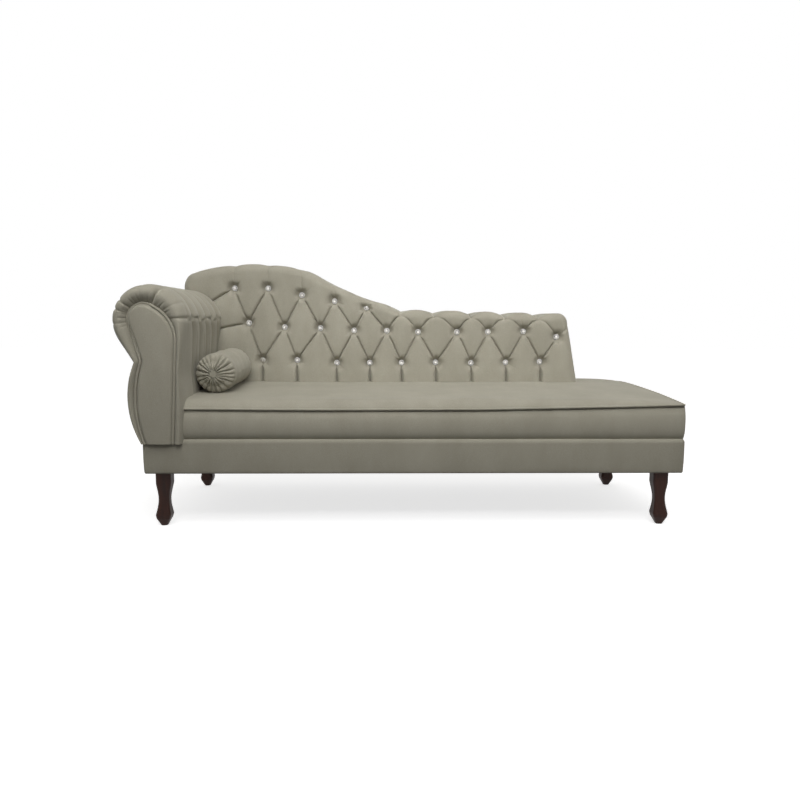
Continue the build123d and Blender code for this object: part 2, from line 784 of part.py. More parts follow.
def arm_frame():
    front = base_front + board_front + soft_gap
    last = arm_rear - arm_rear_cover_thick
    inset = arm_skin + arm_foam_thick + 2 * soft_gap
    y = (front + board_thick, last - board_thick)
    save("arm_front_board", arm_shell(inset, front, y[0]))
    save("arm_rear_board", arm_shell(inset, y[1], last))
    bottom = block((base_left + inset, arm_inner - inset), y, (base_top, base_top + bottom_slat_thick))
    save("arm_bottom_slat", bottom - arm_bolt_shafts(hole_gap))
    save("arm_inner_slat", block((arm_inner - inset - slat_thick, arm_inner - inset), y,
                                 (inner_slat_height, inner_slat_height + slat_width)))
    face = roll_radius - inset - slat_inset
    slats = []
    tuft_angle = math.degrees(math.asin(arm_tuft_rise / roll_radius))
    for degrees in (tuft_angle,) + roll_slat_angles:
        x, z = polar((roll_x, roll_z), face - slat_thick / 2, degrees)
        bar = Box(slat_thick, y[1] - y[0], slat_width)
        slats.append(Pos(x, (y[0] + y[1]) / 2, z) * Rot(0, -degrees, 0) * bar)
    save("arm_roll_slats", *slats)
    save("arm_rear_cover", arm_shell(arm_skin + soft_gap, last, arm_rear))
    foam = arm_shell(arm_skin + soft_gap, front, last)
    foam -= arm_shell(inset - soft_gap, front, last, base_top - past)
    for tuft in pleats:
        foam -= arm_rod(tuft, cord_radius + hole_gap, roll_radius - inset - past, inset)
    save("arm_foam", max(foam.solids(), key=lambda s: s.volume))
    save("arm_tufted_cover", arm_cover())


def arm_bolt_shafts(gap):
    x = (base_left + arm_inner) / 2
    top = base_top + bottom_slat_thick
    length = bottom_slat_thick + bearer_thick + arm_nut_thick + arm_bolt_past_nut
    shafts = [rod((x, base_front + y, top - length), (0, 0, 1), arm_bolt_radius + gap, length)
              for y in arm_bolt_stations]
    return Compound(shafts)


def arm_fasteners():
    x = (base_left + arm_inner) / 2
    top = base_top + bottom_slat_thick
    bolts, nuts = [], []
    for shaft, y in zip(arm_bolt_shafts(0).solids(), arm_bolt_stations):
        bolts.append(shaft + rod((x, base_front + y, top), (0, 0, 1), arm_bolt_head_radius, arm_bolt_head))
        nuts.append(tube((x, base_front + y, base_top - bearer_thick), (0, 0, -1), arm_bolt_head_radius,
                         arm_bolt_radius + hole_gap, arm_nut_thick))
    save("arm_bolts", *bolts)
    save("arm_bolt_nuts", *nuts)


def facing_section(grow, bottom=base_top - arm_droop):
    return arm_section(facing_inner - grow, facing_roll - grow, facing_outer - grow, bottom, facing_drop)


def arm_facing():
    board_back = base_front + board_front
    pad_back = board_back - facing_board_thick
    save("arm_facing_board", prism_y(facing_section(0, base_top), pad_back, board_back))
    front = base_front - arm_proud
    rows = [(pad_back, 0)] + [(front + y, -drawn) for y, drawn in facing_rows]
    pad = Solid.make_loft([ring(at_y(y), *facing_section(grow)) for y, grow in rows], True)
    save("arm_facing_pad", pad)
    welt_front = base_front - arm_nose
    outer = prism_y(facing_section(facing_welt), welt_front, welt_front + facing_welt_thick)
    inner = prism_y(facing_section(soft_gap, base_top - arm_droop - past),
                    welt_front - past, welt_front + facing_welt_thick + past)
    save("arm_facing_welt", outer - inner)


# bolster

def bolster_body(inset):
    # turned about its own axis, near end at 0
    r = bolster_radius - inset
    a, b = inset, bolster_length - inset
    k = bolster_corner * (1 - math.sqrt(0.5))
    c = bolster_corner
    dome = bolster_dome
    rim = r - c
    place = lambda p: (p[0], 0, p[1])
    flat = end_button_radius
    u, v = (flat + rim) / 2, dome * bolster_dome_swell
    moves = [(flat, a), ((u, a + v), (rim, a + dome)), ((r - k, a + dome + k), (r, a + dome + c)),
             (r, b - dome - c), ((r - k, b - dome - k), (rim, b - dome)), ((u, b - v), (flat, b)), (0, b)]
    return Solid.revolve(Face(ring(place, (0, a), moves)), 360, Axis.Z)


def bolster_place():
    (cy, cz), radius = arc_circle(*seat_top(seat_heights, 0)[1:])
    tilt = math.radians(bolster_tilt)
    out = radius + soft_gap + bolster_radius
    foot = Vector(arm_inner + bolster_out, cy - math.sin(tilt) * out, cz + math.cos(tilt) * out)
    axis = Vector(0, math.cos(tilt), math.sin(tilt))
    near = foot + axis * ((back_front - bolster_clear - foot.Y) / axis.Y - bolster_length)
    return Plane(origin=near, x_dir=(1, 0, 0), z_dir=axis)


def bolster():
    place = bolster_place()
    skin = bolster_body(0)
    slope = (bolster_dome, bolster_radius - bolster_corner)
    ends = ((0, 1), (bolster_length, -1))
    buttons = []
    for z, sign in ends:
        sunk = z + sign * end_button_sink
        skin -= rod((0, 0, z - sign * past), (0, 0, sign), end_button_radius + soft_gap,
                    end_button_sink + past)
        knob = rod((0, 0, sunk), (0, 0, -sign), end_button_radius, end_button_thick)
        top = [e for e in knob.edges() if abs(e.center().Z - sunk) > 1]
        buttons.append(place.from_local_coords(knob.fillet(end_button_round, top)))
        for i in range(gather_count):
            x, y = polar((0, 0), 1, 360 * i / gather_count)
            start = (x * gather_inner, y * gather_inner, z)
            along = (x * slope[1], y * slope[1], sign * slope[0])
            skin -= rod(start, along, gather_radius, bolster_radius)
    skin -= bolster_body(bolster_cover + end_button_sink)
    save("bolster_cover", place.from_local_coords(max(skin.solids(), key=lambda s: s.volume)))
    save("bolster_filling", place.from_local_coords(bolster_body(bolster_cover + end_button_sink + soft_gap)))
    save("bolster_end_buttons", *buttons)


os.makedirs("parts", exist_ok=True)
base_frame()
base_corners()
base_covers()
legs()
seat()
seat_webbing()
back_posts()
back_frame()
back_cover()
back_buttons()
arm_frame()
arm_buttons()
arm_fasteners()
arm_facing()
bolster()
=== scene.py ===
import bpy
import json
import numpy as np
from math import atan2, copysign, cos, dist, exp, hypot, pi, radians, sin, sqrt
from mathutils import Matrix, Vector


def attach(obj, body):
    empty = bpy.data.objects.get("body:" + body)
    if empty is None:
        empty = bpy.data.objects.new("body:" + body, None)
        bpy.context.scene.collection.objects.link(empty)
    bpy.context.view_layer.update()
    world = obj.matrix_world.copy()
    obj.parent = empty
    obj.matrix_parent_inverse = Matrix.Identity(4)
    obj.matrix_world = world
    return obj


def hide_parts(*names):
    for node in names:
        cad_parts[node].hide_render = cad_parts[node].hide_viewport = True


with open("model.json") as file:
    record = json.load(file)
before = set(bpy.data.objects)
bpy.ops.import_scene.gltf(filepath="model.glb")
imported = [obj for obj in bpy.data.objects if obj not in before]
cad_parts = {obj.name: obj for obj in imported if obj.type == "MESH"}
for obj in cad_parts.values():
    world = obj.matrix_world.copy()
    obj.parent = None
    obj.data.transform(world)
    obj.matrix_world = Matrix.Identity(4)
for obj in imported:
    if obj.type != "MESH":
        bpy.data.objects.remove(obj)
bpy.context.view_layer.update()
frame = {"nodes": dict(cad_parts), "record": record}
nodes = frame["nodes"]
print("frame loaded,", len(nodes), "nodes")


# small tools

def placed(name, data):
    thing = bpy.data.objects.new(name, data)
    bpy.context.scene.collection.objects.link(thing)
    return thing


def smooth(start, end, value):
    t = np.clip((value - start) / (end - start), 0, 1)
    return t * t * (3 - 2 * t)


def ripple(x, y, size, seed, waves=7, whole=6.28):
    # slow uneven swell, mostly between -1 and 1, from a few waves in fixed directions
    pick = np.random.default_rng(seed)
    total = np.zeros(np.broadcast(x, y).shape)
    aims, lags = pick.uniform(0, whole, waves), pick.uniform(0, whole, waves)
    for aim, lag, stretch in zip(aims, lags, pick.uniform(0.6, 1.7, waves)):
        total = total + np.sin((x * cos(aim) + y * sin(aim)) * whole / (size * stretch) + lag)
    return total / 4


def lumpCentres(node, along, reach=0.03):
    # middles of the separate solids in a node, in order along an axis
    lumps = []
    for vertex in nodes[node].data.vertices:
        for lump in lumps:
            if (vertex.co - lump[0]).length < reach:
                lump.append(vertex.co.copy())
                break
        else:
            lumps.append([vertex.co.copy()])
    centres = np.array([(s.min(0) + s.max(0)) / 2 for s in map(np.array, lumps)])
    return centres[np.argsort(centres[:, along])]


def meshPiece(name, points, quads):
    # points that no face uses are left out
    used, place = np.unique(np.asarray(quads).ravel(), return_inverse=True)
    mesh = bpy.data.meshes.new(name)
    mesh.from_pydata(np.asarray(points)[used].tolist(), [], place.reshape(-1, 4).tolist())
    mesh.polygons.foreach_set("use_smooth", [True] * len(mesh.polygons))
    mesh.update()
    return placed(name, mesh)


def gridQuads(index, flip=False):
    quads = np.stack([index[:-1, :-1], index[:-1, 1:], index[1:, 1:], index[1:, :-1]], -1).reshape(-1, 4)
    return quads[:, ::-1] if flip else quads


def gridPiece(name, points, around=False, flip=False):
    rows, columns = points.shape[:2]
    index = np.arange(rows * columns).reshape(rows, columns)
    if around:
        index = np.hstack([index, index[:, :1]])
    return meshPiece(name, points.reshape(-1, 3), gridQuads(index, flip))


def rimmedPiece(name, grid, index, ring, rims, flip=False):
    # a grid, and rows of points that carry its border on
    quads, previous, count = [gridQuads(index, flip)], ring, len(grid)
    for rim in rims:
        row = np.arange(count, count + len(rim))
        quads.append(gridQuads(np.stack([previous, row]), flip))
        previous, count = row, count + len(rim)
    return meshPiece(name, np.vstack([grid, *rims]), np.concatenate(quads))


def lifted(flat, y):
    # points in x and z set at y
    return np.stack([flat[..., 0], np.broadcast_to(y, flat.shape[:-1]), flat[..., 1]], -1)


def turnedRows(row, out, steps):
    # a border row carried on by steps outward and back
    return [row + lifted(out * outward, back) for outward, back in steps]


def joinPieces(name, pieces):
    points, quads = [], []
    for piece in pieces:
        start = len(points)
        points += [v.co[:] for v in piece.data.vertices]
        quads += [[start + i for i in p.vertices] for p in piece.data.polygons]
        bpy.data.objects.remove(piece)
    return meshPiece(name, points, quads)


def toward(degrees):
    return np.array([cos(radians(degrees)), sin(radians(degrees))])


def onCircle(centre, radius, turns):
    return np.array(centre) + radius * np.c_[np.cos(turns), np.sin(turns)]


def arcThrough(a, b, c, steps):
    # points of the circle arc from a through b to c
    ax, ay, bx, by, cx, cy = *a, *b, *c
    d = 2 * (ax * (by - cy) + bx * (cy - ay) + cx * (ay - by))
    sa, sb, sc = ax * ax + ay * ay, bx * bx + by * by, cx * cx + cy * cy
    u = (sa * (by - cy) + sb * (cy - ay) + sc * (ay - by)) / d
    v = (sa * (cx - bx) + sb * (ax - cx) + sc * (bx - ax)) / d
    turns = np.unwrap([atan2(p[1] - v, p[0] - u) for p in (a, b, c)])
    sweep = np.concatenate([np.linspace(turns[0], turns[1], steps // 2 + 1),
                            np.linspace(turns[1], turns[2], steps - steps // 2 + 1)[1:]])
    return onCircle((u, v), hypot(ax - u, ay - v), sweep)


def lineTo(a, b, steps):
    return np.linspace(a, b, steps + 1)


def runAlong(points):
    return np.concatenate([[0], np.cumsum(np.linalg.norm(np.diff(points, axis=0), axis=1))])


def evenly(points, count):
    run = runAlong(points)
    wanted = np.linspace(0, run[-1], count)
    return np.stack([np.interp(wanted, run, points[:, k]) for k in range(points.shape[1])], 1)


def eased(points, rounds):
    # softens the corners of a line and keeps its ends
    for step in range(rounds):
        points = np.vstack([points[:1], (points[:-2] + 2 * points[1:-1] + points[2:]) / 4, points[-1:]])
    return points


def unit(vectors):
    return vectors / np.linalg.norm(vectors, axis=1)[:, None]


def leftNormals(points):
    along = unit(np.gradient(points, axis=0))
    return np.c_[-along[:, 1], along[:, 0]]


def tubeAlong(name, path, radius, sides=10):
    # cloth-covered cord along a line of points
    along = unit(np.gradient(path, axis=0))
    lift = np.array([0.0, 1.0, 0.0]) if abs(along[:, 1]).max() < 0.7 else np.array([1.0, 0.0, 0.0])
    side = unit(np.cross(along, lift))
    over = np.cross(side, along)
    turns = np.linspace(0, 2 * pi, sides, endpoint=False)
    ring = side[:, None] * np.cos(turns)[None, :, None] + over[:, None] * np.sin(turns)[None, :, None]
    return gridPiece(name, path[:, None] + ring * radius, around=True)


# camera, solved from the base, the feet and the buttons in the photograph
viewpoint = dict(place=(-0.0597, -2.5312, 0.6738), lens=30.99, sensor=36, down=6.451, turn=-1.251, roll=0.179)

camera = placed("camera", bpy.data.cameras.new("camera"))
camera.data.sensor_width = viewpoint["sensor"]
camera.data.lens = viewpoint["lens"]
camera.matrix_world = (Matrix.Translation(viewpoint["place"])
                       @ Matrix.Rotation(radians(viewpoint["turn"]), 4, "Z")
                       @ Matrix.Rotation(radians(90 - viewpoint["down"]), 4, "X")
                       @ Matrix.Rotation(radians(viewpoint["roll"]), 4, "Z"))
bpy.context.scene.camera = camera


# finishes

def newFinish(name):
    finish = bpy.data.materials.new(name)
    finish.use_nodes = True
    return finish, finish.node_tree


def add(tree, kind, feeds={}, **values):
    # a shader node with its values, and what feeds its sockets
    made = tree.nodes.new("ShaderNode" + kind)
    for key, value in values.items():
        if key in made.inputs:
            made.inputs[key].default_value = value
        else:
            setattr(made, key, value)
    for socket, source in feeds.items():
        tree.links.new(source, made.inputs[socket])
    return made


def objectSpot(tree):
    return add(tree, "TexCoord").outputs["Object"]


def noiseAt(tree, scale, detail=3, roughness=0.55, stretch=None):
    spot = objectSpot(tree)
    if stretch:
        spot = add(tree, "Mapping", {"Vector": spot}, Scale=stretch).outputs["Vector"]
    cloud = add(tree, "TexNoise", {"Vector": spot}, Scale=scale, Detail=detail, Roughness=roughness)
    return cloud.outputs["Fac"]


def toneBetween(tree, factor, dark, light, low=0.3, high=0.7):
    ramp = add(tree, "ValToRGB", {"Fac": factor})
    for element, position, tone in zip(ramp.color_ramp.elements, (low, high), (dark, light)):
        element.position = position
        element.color = (*tone, 1)
    return ramp.outputs["Color"]


def raised(tree, height, strength, distance, under=None):
    feeds = {"Height": height, "Normal": under} if under else {"Height": height}
    return add(tree, "Bump", feeds, Strength=strength, Distance=distance).outputs["Normal"]


def painted(finish, colour, normal, values):
    shader = finish.node_tree.nodes["Principled BSDF"]
    finish.node_tree.links.new(colour, shader.inputs["Base Color"])
    if normal:
        finish.node_tree.links.new(normal, shader.inputs["Normal"])
    for key, value in values.items():
        shader.inputs[key].default_value = value
    return finish


def suedeFinish(name, tone):
    finish, tree = newFinish(name)
    brushed = noiseAt(tree, tone["brushScale"], 4, 0.6, tone["brushStretch"])  # nap laid by hand
    nap = noiseAt(tree, tone["napScale"], 2, 0.6)
    wide = toneBetween(tree, brushed, tone["dark"], tone["light"])
    fine = toneBetween(tree, nap, (tone["napDark"],) * 3, (tone["napLight"],) * 3, 0.25, 0.75)
    mixed = add(tree, "Mix", {6: wide, 7: fine}, data_type="RGBA", blend_type="MULTIPLY")
    mixed.inputs[0].default_value = 1
    under = raised(tree, brushed, tone["brushDepth"], 0.002)
    return painted(finish, mixed.outputs[2], raised(tree, nap, tone["napDepth"], 0.0006, under),
                   {"Roughness": 0.88, "Specular IOR Level": 0.2, "Sheen Weight": tone["sheen"],
                    "Sheen Roughness": 0.45, "Sheen Tint": (*tone["sheenTint"], 1)})


def woodFinish(name, dark, light, grain, roughness, coat=0.0):
    finish, tree = newFinish(name)
    streak = noiseAt(tree, 9, 6, 0.65, grain)
    pore = noiseAt(tree, 60, 3, 0.6, grain)
    normal = raised(tree, pore, 0.2, 0.0004, raised(tree, streak, 0.15, 0.001))
    return painted(finish, toneBetween(tree, streak, dark, light), normal,
                   {"Roughness": roughness, "Specular IOR Level": 0.2, "Coat Weight": coat, "Coat Roughness": 0.2})


def wovenFinish(name, dark, light, pitch):
    finish, tree = newFinish(name)
    spot = objectSpot(tree)
    weft, warp = [add(tree, "TexWave", {"Vector": spot}, bands_direction=way, Scale=pitch,
                      Distortion=0.4).outputs["Fac"] for way in "XY"]
    over = add(tree, "Math", {0: weft, 1: warp}, operation="MAXIMUM").outputs[0]
    return painted(finish, toneBetween(tree, over, dark, light), raised(tree, over, 0.4, 0.0005), {"Roughness": 0.85})


# noise mottle between two tones; on the crystals the mottle is painted glints and shade on the facets
def hazeAndGlintFinish(name, dark, light, noise, bump, values, span=(0.3, 0.7)):
    finish, tree = newFinish(name)
    hazeAndGlints = noiseAt(tree, *noise)
    normal = raised(tree, hazeAndGlints, *bump) if bump else None
    return painted(finish, toneBetween(tree, hazeAndGlints, dark, light, *span), normal, values)


suedeTone = dict(
    dark=(0.30, 0.283, 0.226), light=(0.352, 0.333, 0.27), brushScale=9, brushStretch=(1, 1, 0.45), brushDepth=0.12,
    napScale=700, napDark=0.82, napLight=1.12, napDepth=0.25, sheen=0.35, sheenTint=(0.80, 0.78, 0.70))
suede = suedeFinish("suedeCloth", suedeTone)
legWood = woodFinish("legWood", (0.014, 0.0045, 0.0025), (0.052, 0.0165, 0.009), (3, 3, 0.35), 0.45, 0.02)
frameWood = woodFinish("frameWood", (0.5, 0.34, 0.19), (0.68, 0.5, 0.31), (0.4, 3, 3), 0.7)
plyWood = woodFinish("plyWood", (0.55, 0.41, 0.25), (0.72, 0.57, 0.38), (0.5, 3, 0.5), 0.65)
webbingCloth = wovenFinish("webbingCloth", (0.16, 0.12, 0.09), (0.32, 0.26, 0.2), 160)
dustCloth = wovenFinish("dustCloth", (0.02, 0.02, 0.02), (0.06, 0.06, 0.06), 220)
cordNylon = wovenFinish("cordNylon", (0.5, 0.45, 0.37), (0.75, 0.7, 0.6), 500)
zincSteel = hazeAndGlintFinish("zincSteel", (0.5, 0.5, 0.5), (0.68, 0.68, 0.68), (60, 3), (0.05, 0.0003),
                        {"Metallic": 1, "Roughness": 0.38})
brightCup = hazeAndGlintFinish("brightCup", (0.66, 0.66, 0.68), (0.86, 0.86, 0.88), (40, 3), (0.05, 0.0003),
                        {"Metallic": 1, "Roughness": 0.16})
crystal = hazeAndGlintFinish("crystalStone", (0.42, 0.40, 0.37), (1.0, 0.98, 0.94), (240, 2), None,  # foiled back; its silver tone is its own, and the bright and dark flecks are painted glints and shade on the facets
                      {"Metallic": 0.6, "Roughness": 0.08, "Coat Weight": 1, "Coat Roughness": 0.02}, (0.38, 0.52))
retainer = hazeAndGlintFinish("retainerPlastic", (0.02, 0.02, 0.02), (0.05, 0.05, 0.05), (300, 2), (0.1, 0.0003),
                       {"Roughness": 0.5})
print("finishes made")


def dress(piece, finish=suede, body="sofa"):
    piece.data.materials.append(finish)
    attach(piece, body)
    return piece


# tufted back: a rimmed panel whose front is drawn in along creases to the buttons
backPad = dict(
    front=0.153, rear=0.334, bottom=0.2975, peakX=-0.562, top=0.896, crown=0.85, leftTurn=15.8, leftCorner=0.058,
    rightTurn=-11.5, shoulder=(0.25, -18.5), sweep=(1.085, 18.6), ease=(0.15, 10.1), lowLength=0.583,
    endCorner=(0.038, -78.3), edgeRound=0.034, columns=960, rows=240, lowRows=10, evenRows=15, wallRows=15,
    detailFrom=0.41, detailFade=0.02, foldRun=0.085, scallopRun=0.07, scallopLoss=0.32, evenSide=0.9,
    turnedOver=((-0.003, 0.0015), (-0.010, 0.0022), (-0.026, 0.0015)))
scallops = dict(notches=(0.002, 0.132, 0.275, 0.408, 0.540), halfWidth=0.064, depth=0.018, reach=0.085)
# each kind of fold has its width and the share of the depth that is sharp
tuft = dict(
    rowCuts=(0.715, 0.57), reach=0.09, wellDepth=0.0322, wellFlat=0.0105, wellLip=0.002, wellSlope=0.0100,
    wellFade=(0.045, 0.07), fold=(0.0031, 0.74), seatFold=(0.0028, 0.93), topFold=(0.010, 0.6), swellWidth=0.032,
    lap=0.0024, lapWidth=0.012, lapDepth=0.012, creaseMid=0.0160, creaseEnd=0.024, seatPleat=0.036,
    seatFoot=(0.002, 0.40), topPleat=0.0070, topRun=(0.004, 0.20), notchRun=0.10,
    leftEnds=((-0.752, 0.737), (-0.722, 0.643)), rightEnd=(0.690, 0.680),
    cornerFold=((-0.800, 0.845), (-0.806, 1.0), 0.0, 0.004, 0.004, "topFold"), unevenness=(0.0007, 0.09))
# short gathers round each button, most of them above it; the ways are in degrees
wrinkles = dict(
    count=6, countAbove=4, above=(25, 155), below=(200, 340), depth=0.0024, fullness=(0.7, 1.2), width=0.0028,
    length=(0.014, 0.026), start=(0.010, 0.016), peak=0.012)


def bendPoints(here, heading, radius, turn, steps=60):
    # arc from a point and a heading on, to the left where turn is positive
    start = radians(heading - copysign(90, turn))
    centre = (here[0] - radius * cos(start), here[1] - radius * sin(start))
    return onCircle(centre, radius, start + np.radians(np.linspace(0, turn, steps + 1))), heading + turn


def backOutline(steps=60):
    # left side up, over the top and down the right side, in three lines that meet in the two corners
    half = steps // 2
    peak = np.array([backPad["peakX"], backPad["top"]])
    leftCrown, heading = bendPoints(peak, 180, backPad["crown"], backPad["leftTurn"])
    leftCorner, heading = bendPoints(leftCrown[-1], heading, backPad["leftCorner"], 90 - backPad["leftTurn"])
    leftCorner = leftCorner[::-1]
    runs, here, heading = [leftCrown[::-1]], peak, 0
    for radius, turn in ((backPad["crown"], backPad["rightTurn"]), backPad["shoulder"], backPad["sweep"],
                         backPad["ease"]):
        run, heading = bendPoints(here, heading, radius, turn)
        runs.append(run[1:])
        here = run[-1]
    low = lineTo(here, here + backPad["lowLength"] * toward(heading), steps)
    endCorner, heading = bendPoints(low[-1], heading, *backPad["endCorner"])
    drop = (backPad["bottom"] - endCorner[-1][1]) / sin(radians(heading))
    leftFoot, rightFoot = (leftCorner[0][0], backPad["bottom"]), endCorner[-1] + drop * toward(heading)
    left = np.vstack([lineTo(leftFoot, leftCorner[0], steps), leftCorner[1:half + 1]])
    top = np.vstack([leftCorner[half:], *runs, low[1:], endCorner[1:half + 1]])
    right = np.vstack([lineTo(rightFoot, endCorner[-1], steps), endCorner[::-1][1:half + 1]])
    return left, top, right, low[0], low[-1]


backLeft, backTop, backRight, lowStart, lowEnd = backOutline()


def lowTopLine(x):
    return lowStart[1] + (x - lowStart[0]) * (lowEnd[1] - lowStart[1]) / (lowEnd[0] - lowStart[0])


def sideRows(side, low, high):
    # a few rows below the seat, then many where the tufting shows
    cut = backPad["detailFrom"]
    start = [(np.interp(cut, side[:, 1], side[:, 0]), cut)]
    lower = evenly(np.concatenate([side[side[:, 1] <= cut], start]), low + 1)
    upper = evenly(np.concatenate([start, side[side[:, 1] >= cut]]), high + 1)
    return np.vstack([lower, upper[1:]])


def scallopDrop(spots):
    x, z = spots.T
    drop = np.zeros_like(x)
    wide, deep = scallops["halfWidth"], scallops["depth"]
    radius = (wide ** 2 + deep ** 2) / (2 * deep)
    for notch in scallops["notches"]:
        reach = np.clip(wide - np.abs(x - notch), 0, wide)
        drop = np.maximum(drop, radius - np.sqrt(radius ** 2 - reach ** 2))
    return np.c_[0 * x, drop * smooth(scallops["reach"], 0.0, lowTopLine(x) - z)]


def backGrid(inset, columns, low, high):
    # flat grid inside the back's outline drawn in, its border and the outward directions along it
    outline = np.vstack([sideRows(backLeft, low, high), evenly(backTop, columns + 1)[1:],
                         sideRows(backRight, low, high)[::-1][1:]])
    out = unit(eased(leftNormals(outline), 2))
    border = outline - out * inset
    border[[0, -1], 1] = backPad["bottom"]
    rows = low + high
    l, t, r = border[:rows + 1], border[rows:rows + columns + 1], border[rows + columns:][::-1]
    u = np.linspace(0, 1, columns + 1)
    b = l[0] + (r[0] - l[0]) * u[:, None]
    runL, runR = runAlong(l), runAlong(r)
    v = runL[:, None] / runL[-1] * (1 - u) + runR[:, None] / runR[-1] * u
    u, v = u[None, :, None], v[..., None]
    patch = ((1 - v) * b[None] + v * t[None] + (1 - u) * l[:, None] + u * r[:, None]
             - (1 - u) * (1 - v) * b[0] - u * (1 - v) * b[-1] - (1 - u) * v * t[0] - u * v * t[-1])
    last = backPad["evenRows"]  # spread evenly, so that none laps over at a corner
    patch[-last:] = patch[-last] + (patch[-1] - patch[-last]) * np.linspace(0, 1, last)[:, None, None]
    index = np.arange((rows + 1) * (columns + 1)).reshape(rows + 1, columns + 1)
    ring = np.concatenate([index[:, 0], index[-1, 1:], index[::-1, -1][1:]])
    return patch.reshape(-1, 2), index, ring, out


def tuftRows():
    spots = lumpCentres("back_button_cups", 0)[:, [0, 2]]
    upper, lower = tuft["rowCuts"]
    z = spots[:, 1]
    return spots[z > upper], spots[(z > lower) & (z <= upper)], spots[z <= lower]


highTufts, middleTufts, lowTufts = tuftRows()


def backCreases():
    # start, end, depth at the start, in the middle and at the end, kind of fold
    mid, end, deep, soft = tuft["creaseMid"], tuft["creaseEnd"], tuft["seatPleat"], tuft["topPleat"]
    for i, p in enumerate(lowTufts):
        yield p, middleTufts[i], end, mid, end, "fold"
        yield p, middleTufts[i + 1], end, mid, end, "fold"
        yield p, (p[0] + tuft["seatFoot"][0], tuft["seatFoot"][1]), deep, deep, deep, "seatFold"
    for i, p in enumerate(highTufts):
        yield p, middleTufts[i], end, mid, end, "fold"
        yield p, p + tuft["topRun"], soft * 1.6, soft, soft * 0.7, "topFold"
        if i:
            yield p, middleTufts[i - 1], end, mid, end, "fold"
    first = len(highTufts) - 1
    for i, x in enumerate(scallops["notches"]):
        notch = (x, lowTopLine(x))
        yield middleTufts[first + i], notch, end, mid, mid * 0.6, "fold"
        yield middleTufts[first + i + 1], notch, end * 0.8, mid * 0.55, mid * 0.5, "fold"
        yield notch, (x, notch[1] + tuft["notchRun"]), mid * 0.6, mid * 0.4, mid * 0.2, "fold"
    for p, side in zip((highTufts[0], middleTufts[0]), tuft["leftEnds"]):
        yield p, side, end, mid * 1.2, mid, "fold"
    yield middleTufts[-1], tuft["rightEnd"], end, mid * 0.9, mid, "fold"
    yield tuft["cornerFold"]


def tuftDepth(spots):
    # how far the cloth lies behind the crest of the pillows
    depth, lap = np.zeros(len(spots)), np.zeros(len(spots))
    for start, end, deep0, deep1, deep2, kind in backCreases():
        start, end = np.array(start), np.array(end)
        along = end - start
        t = np.clip(((spots - start) @ along) / (along @ along), 0, 1)
        off = spots - start - t[:, None] * along
        gap = np.linalg.norm(off, axis=1)
        deep = deep1 + np.where(t < 0.5, (deep0 - deep1) * (1 - 2 * t) ** 2, (deep2 - deep1) * (2 * t - 1) ** 2)
        width, share = tuft[kind]
        fold = share * np.exp(-gap / width)
        swell = (1 - share) * np.exp(-(gap / tuft["swellWidth"]) ** 2)
        depth = (depth ** 4 + (deep * (fold + swell)) ** 4) ** 0.25
        upper = np.sign(along[0] * off[:, 1] - along[1] * off[:, 0]) * np.sign(along[0] + 1e-9)
        lapped = (upper < 0) * np.exp(-gap / tuft["lapWidth"]) * np.clip(deep / tuft["lapDepth"], 0, 1)
        lap = np.maximum(lap, tuft["lap"] * lapped)
    depth = depth + lap
    pick = np.random.default_rng(11)
    for spot in np.vstack([highTufts, middleTufts, lowTufts]):
        gap = np.linalg.norm(spots - spot, axis=1)
        near = gap < tuft["reach"]
        gap, off = gap[near], spots[near] - spot
        slope = np.clip(gap - tuft["wellFlat"], 0, None) / tuft["wellSlope"]
        well = tuft["wellDepth"] / (1 + slope ** 2) * (1 - smooth(*tuft["wellFade"], gap))
        turn = np.arctan2(off[:, 1], off[:, 0])
        pull = np.zeros_like(gap)
        for k in range(wrinkles["count"]):
            ways = wrinkles["above"] if k < wrinkles["countAbove"] else wrinkles["below"]
            aim = radians(pick.uniform(*ways))
            away = np.abs((turn - aim + pi) % (2 * pi) - pi) * gap
            length = pick.uniform(*wrinkles["length"])
            pull += (np.exp(-(away / wrinkles["width"]) ** 2) * smooth(*wrinkles["start"], gap)
                     * np.exp(-((gap - wrinkles["peak"]) / length) ** 2))
        folded = (np.maximum(depth[near], 1e-6) ** 5 + well ** 5) ** 0.2
        folded = folded + wrinkles["depth"] * pull * pick.uniform(*wrinkles["fullness"])
        depth[near] = np.where(gap < tuft["wellFlat"] + tuft["wellLip"], tuft["wellDepth"], folded)
    high, size = tuft["unevenness"]
    return depth + high * (1 + ripple(*spots.T, size, 5))


def shownDepth(spots):
    # no tufting low down behind the seat
    cut, fade = backPad["detailFrom"], backPad["detailFade"]
    return tuftDepth(spots) * smooth(cut - fade, cut + fade, spots[:, 1])


def makeBackPad():
    edge, front, rear = backPad["edgeRound"], backPad["front"], backPad["rear"]
    flat, index, ring, out = backGrid(edge, backPad["columns"], backPad["lowRows"], backPad["rows"])
    grid = lifted(flat - scallopDrop(flat), front + shownDepth(flat))
    border, rims = flat[ring], []
    walls = np.linspace(0, rear - front - edge, backPad["wallRows"] + 1)[1:]
    steps = [(radians(a), 0) for a in np.linspace(0, 90, 13)[1:]] + [(pi / 2, w) for w in walls]
    for lean, back in steps:
        sunk = shownDepth(border + out * (edge * lean + back)) * (1 - smooth(0, backPad["foldRun"], back))
        sunk *= 1 - backPad["evenSide"] * np.clip(out[:, 0], 0, 1) * sin(lean)  # the free side stays even
        base = border + out * edge * sin(lean)
        kept = 1 - backPad["scallopLoss"] * smooth(0, backPad["scallopRun"], back)  # clear of the panel inside
        across = base - out * (sunk * sin(lean))[:, None] - scallopDrop(base) * kept
        rims.append(lifted(across, front + edge * (1 - cos(lean)) + back + sunk * cos(lean)))
    rims += turnedRows(rims[-1], out, backPad["turnedOver"])
    piece = rimmedPiece("backTufting", grid, index, ring, rims)
    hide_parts("back_tufted_cover", "back_foam")
    return dress(piece)


backPiece = makeBackPad()
print("back tufted,", len(backPiece.data.polygons), "faces")


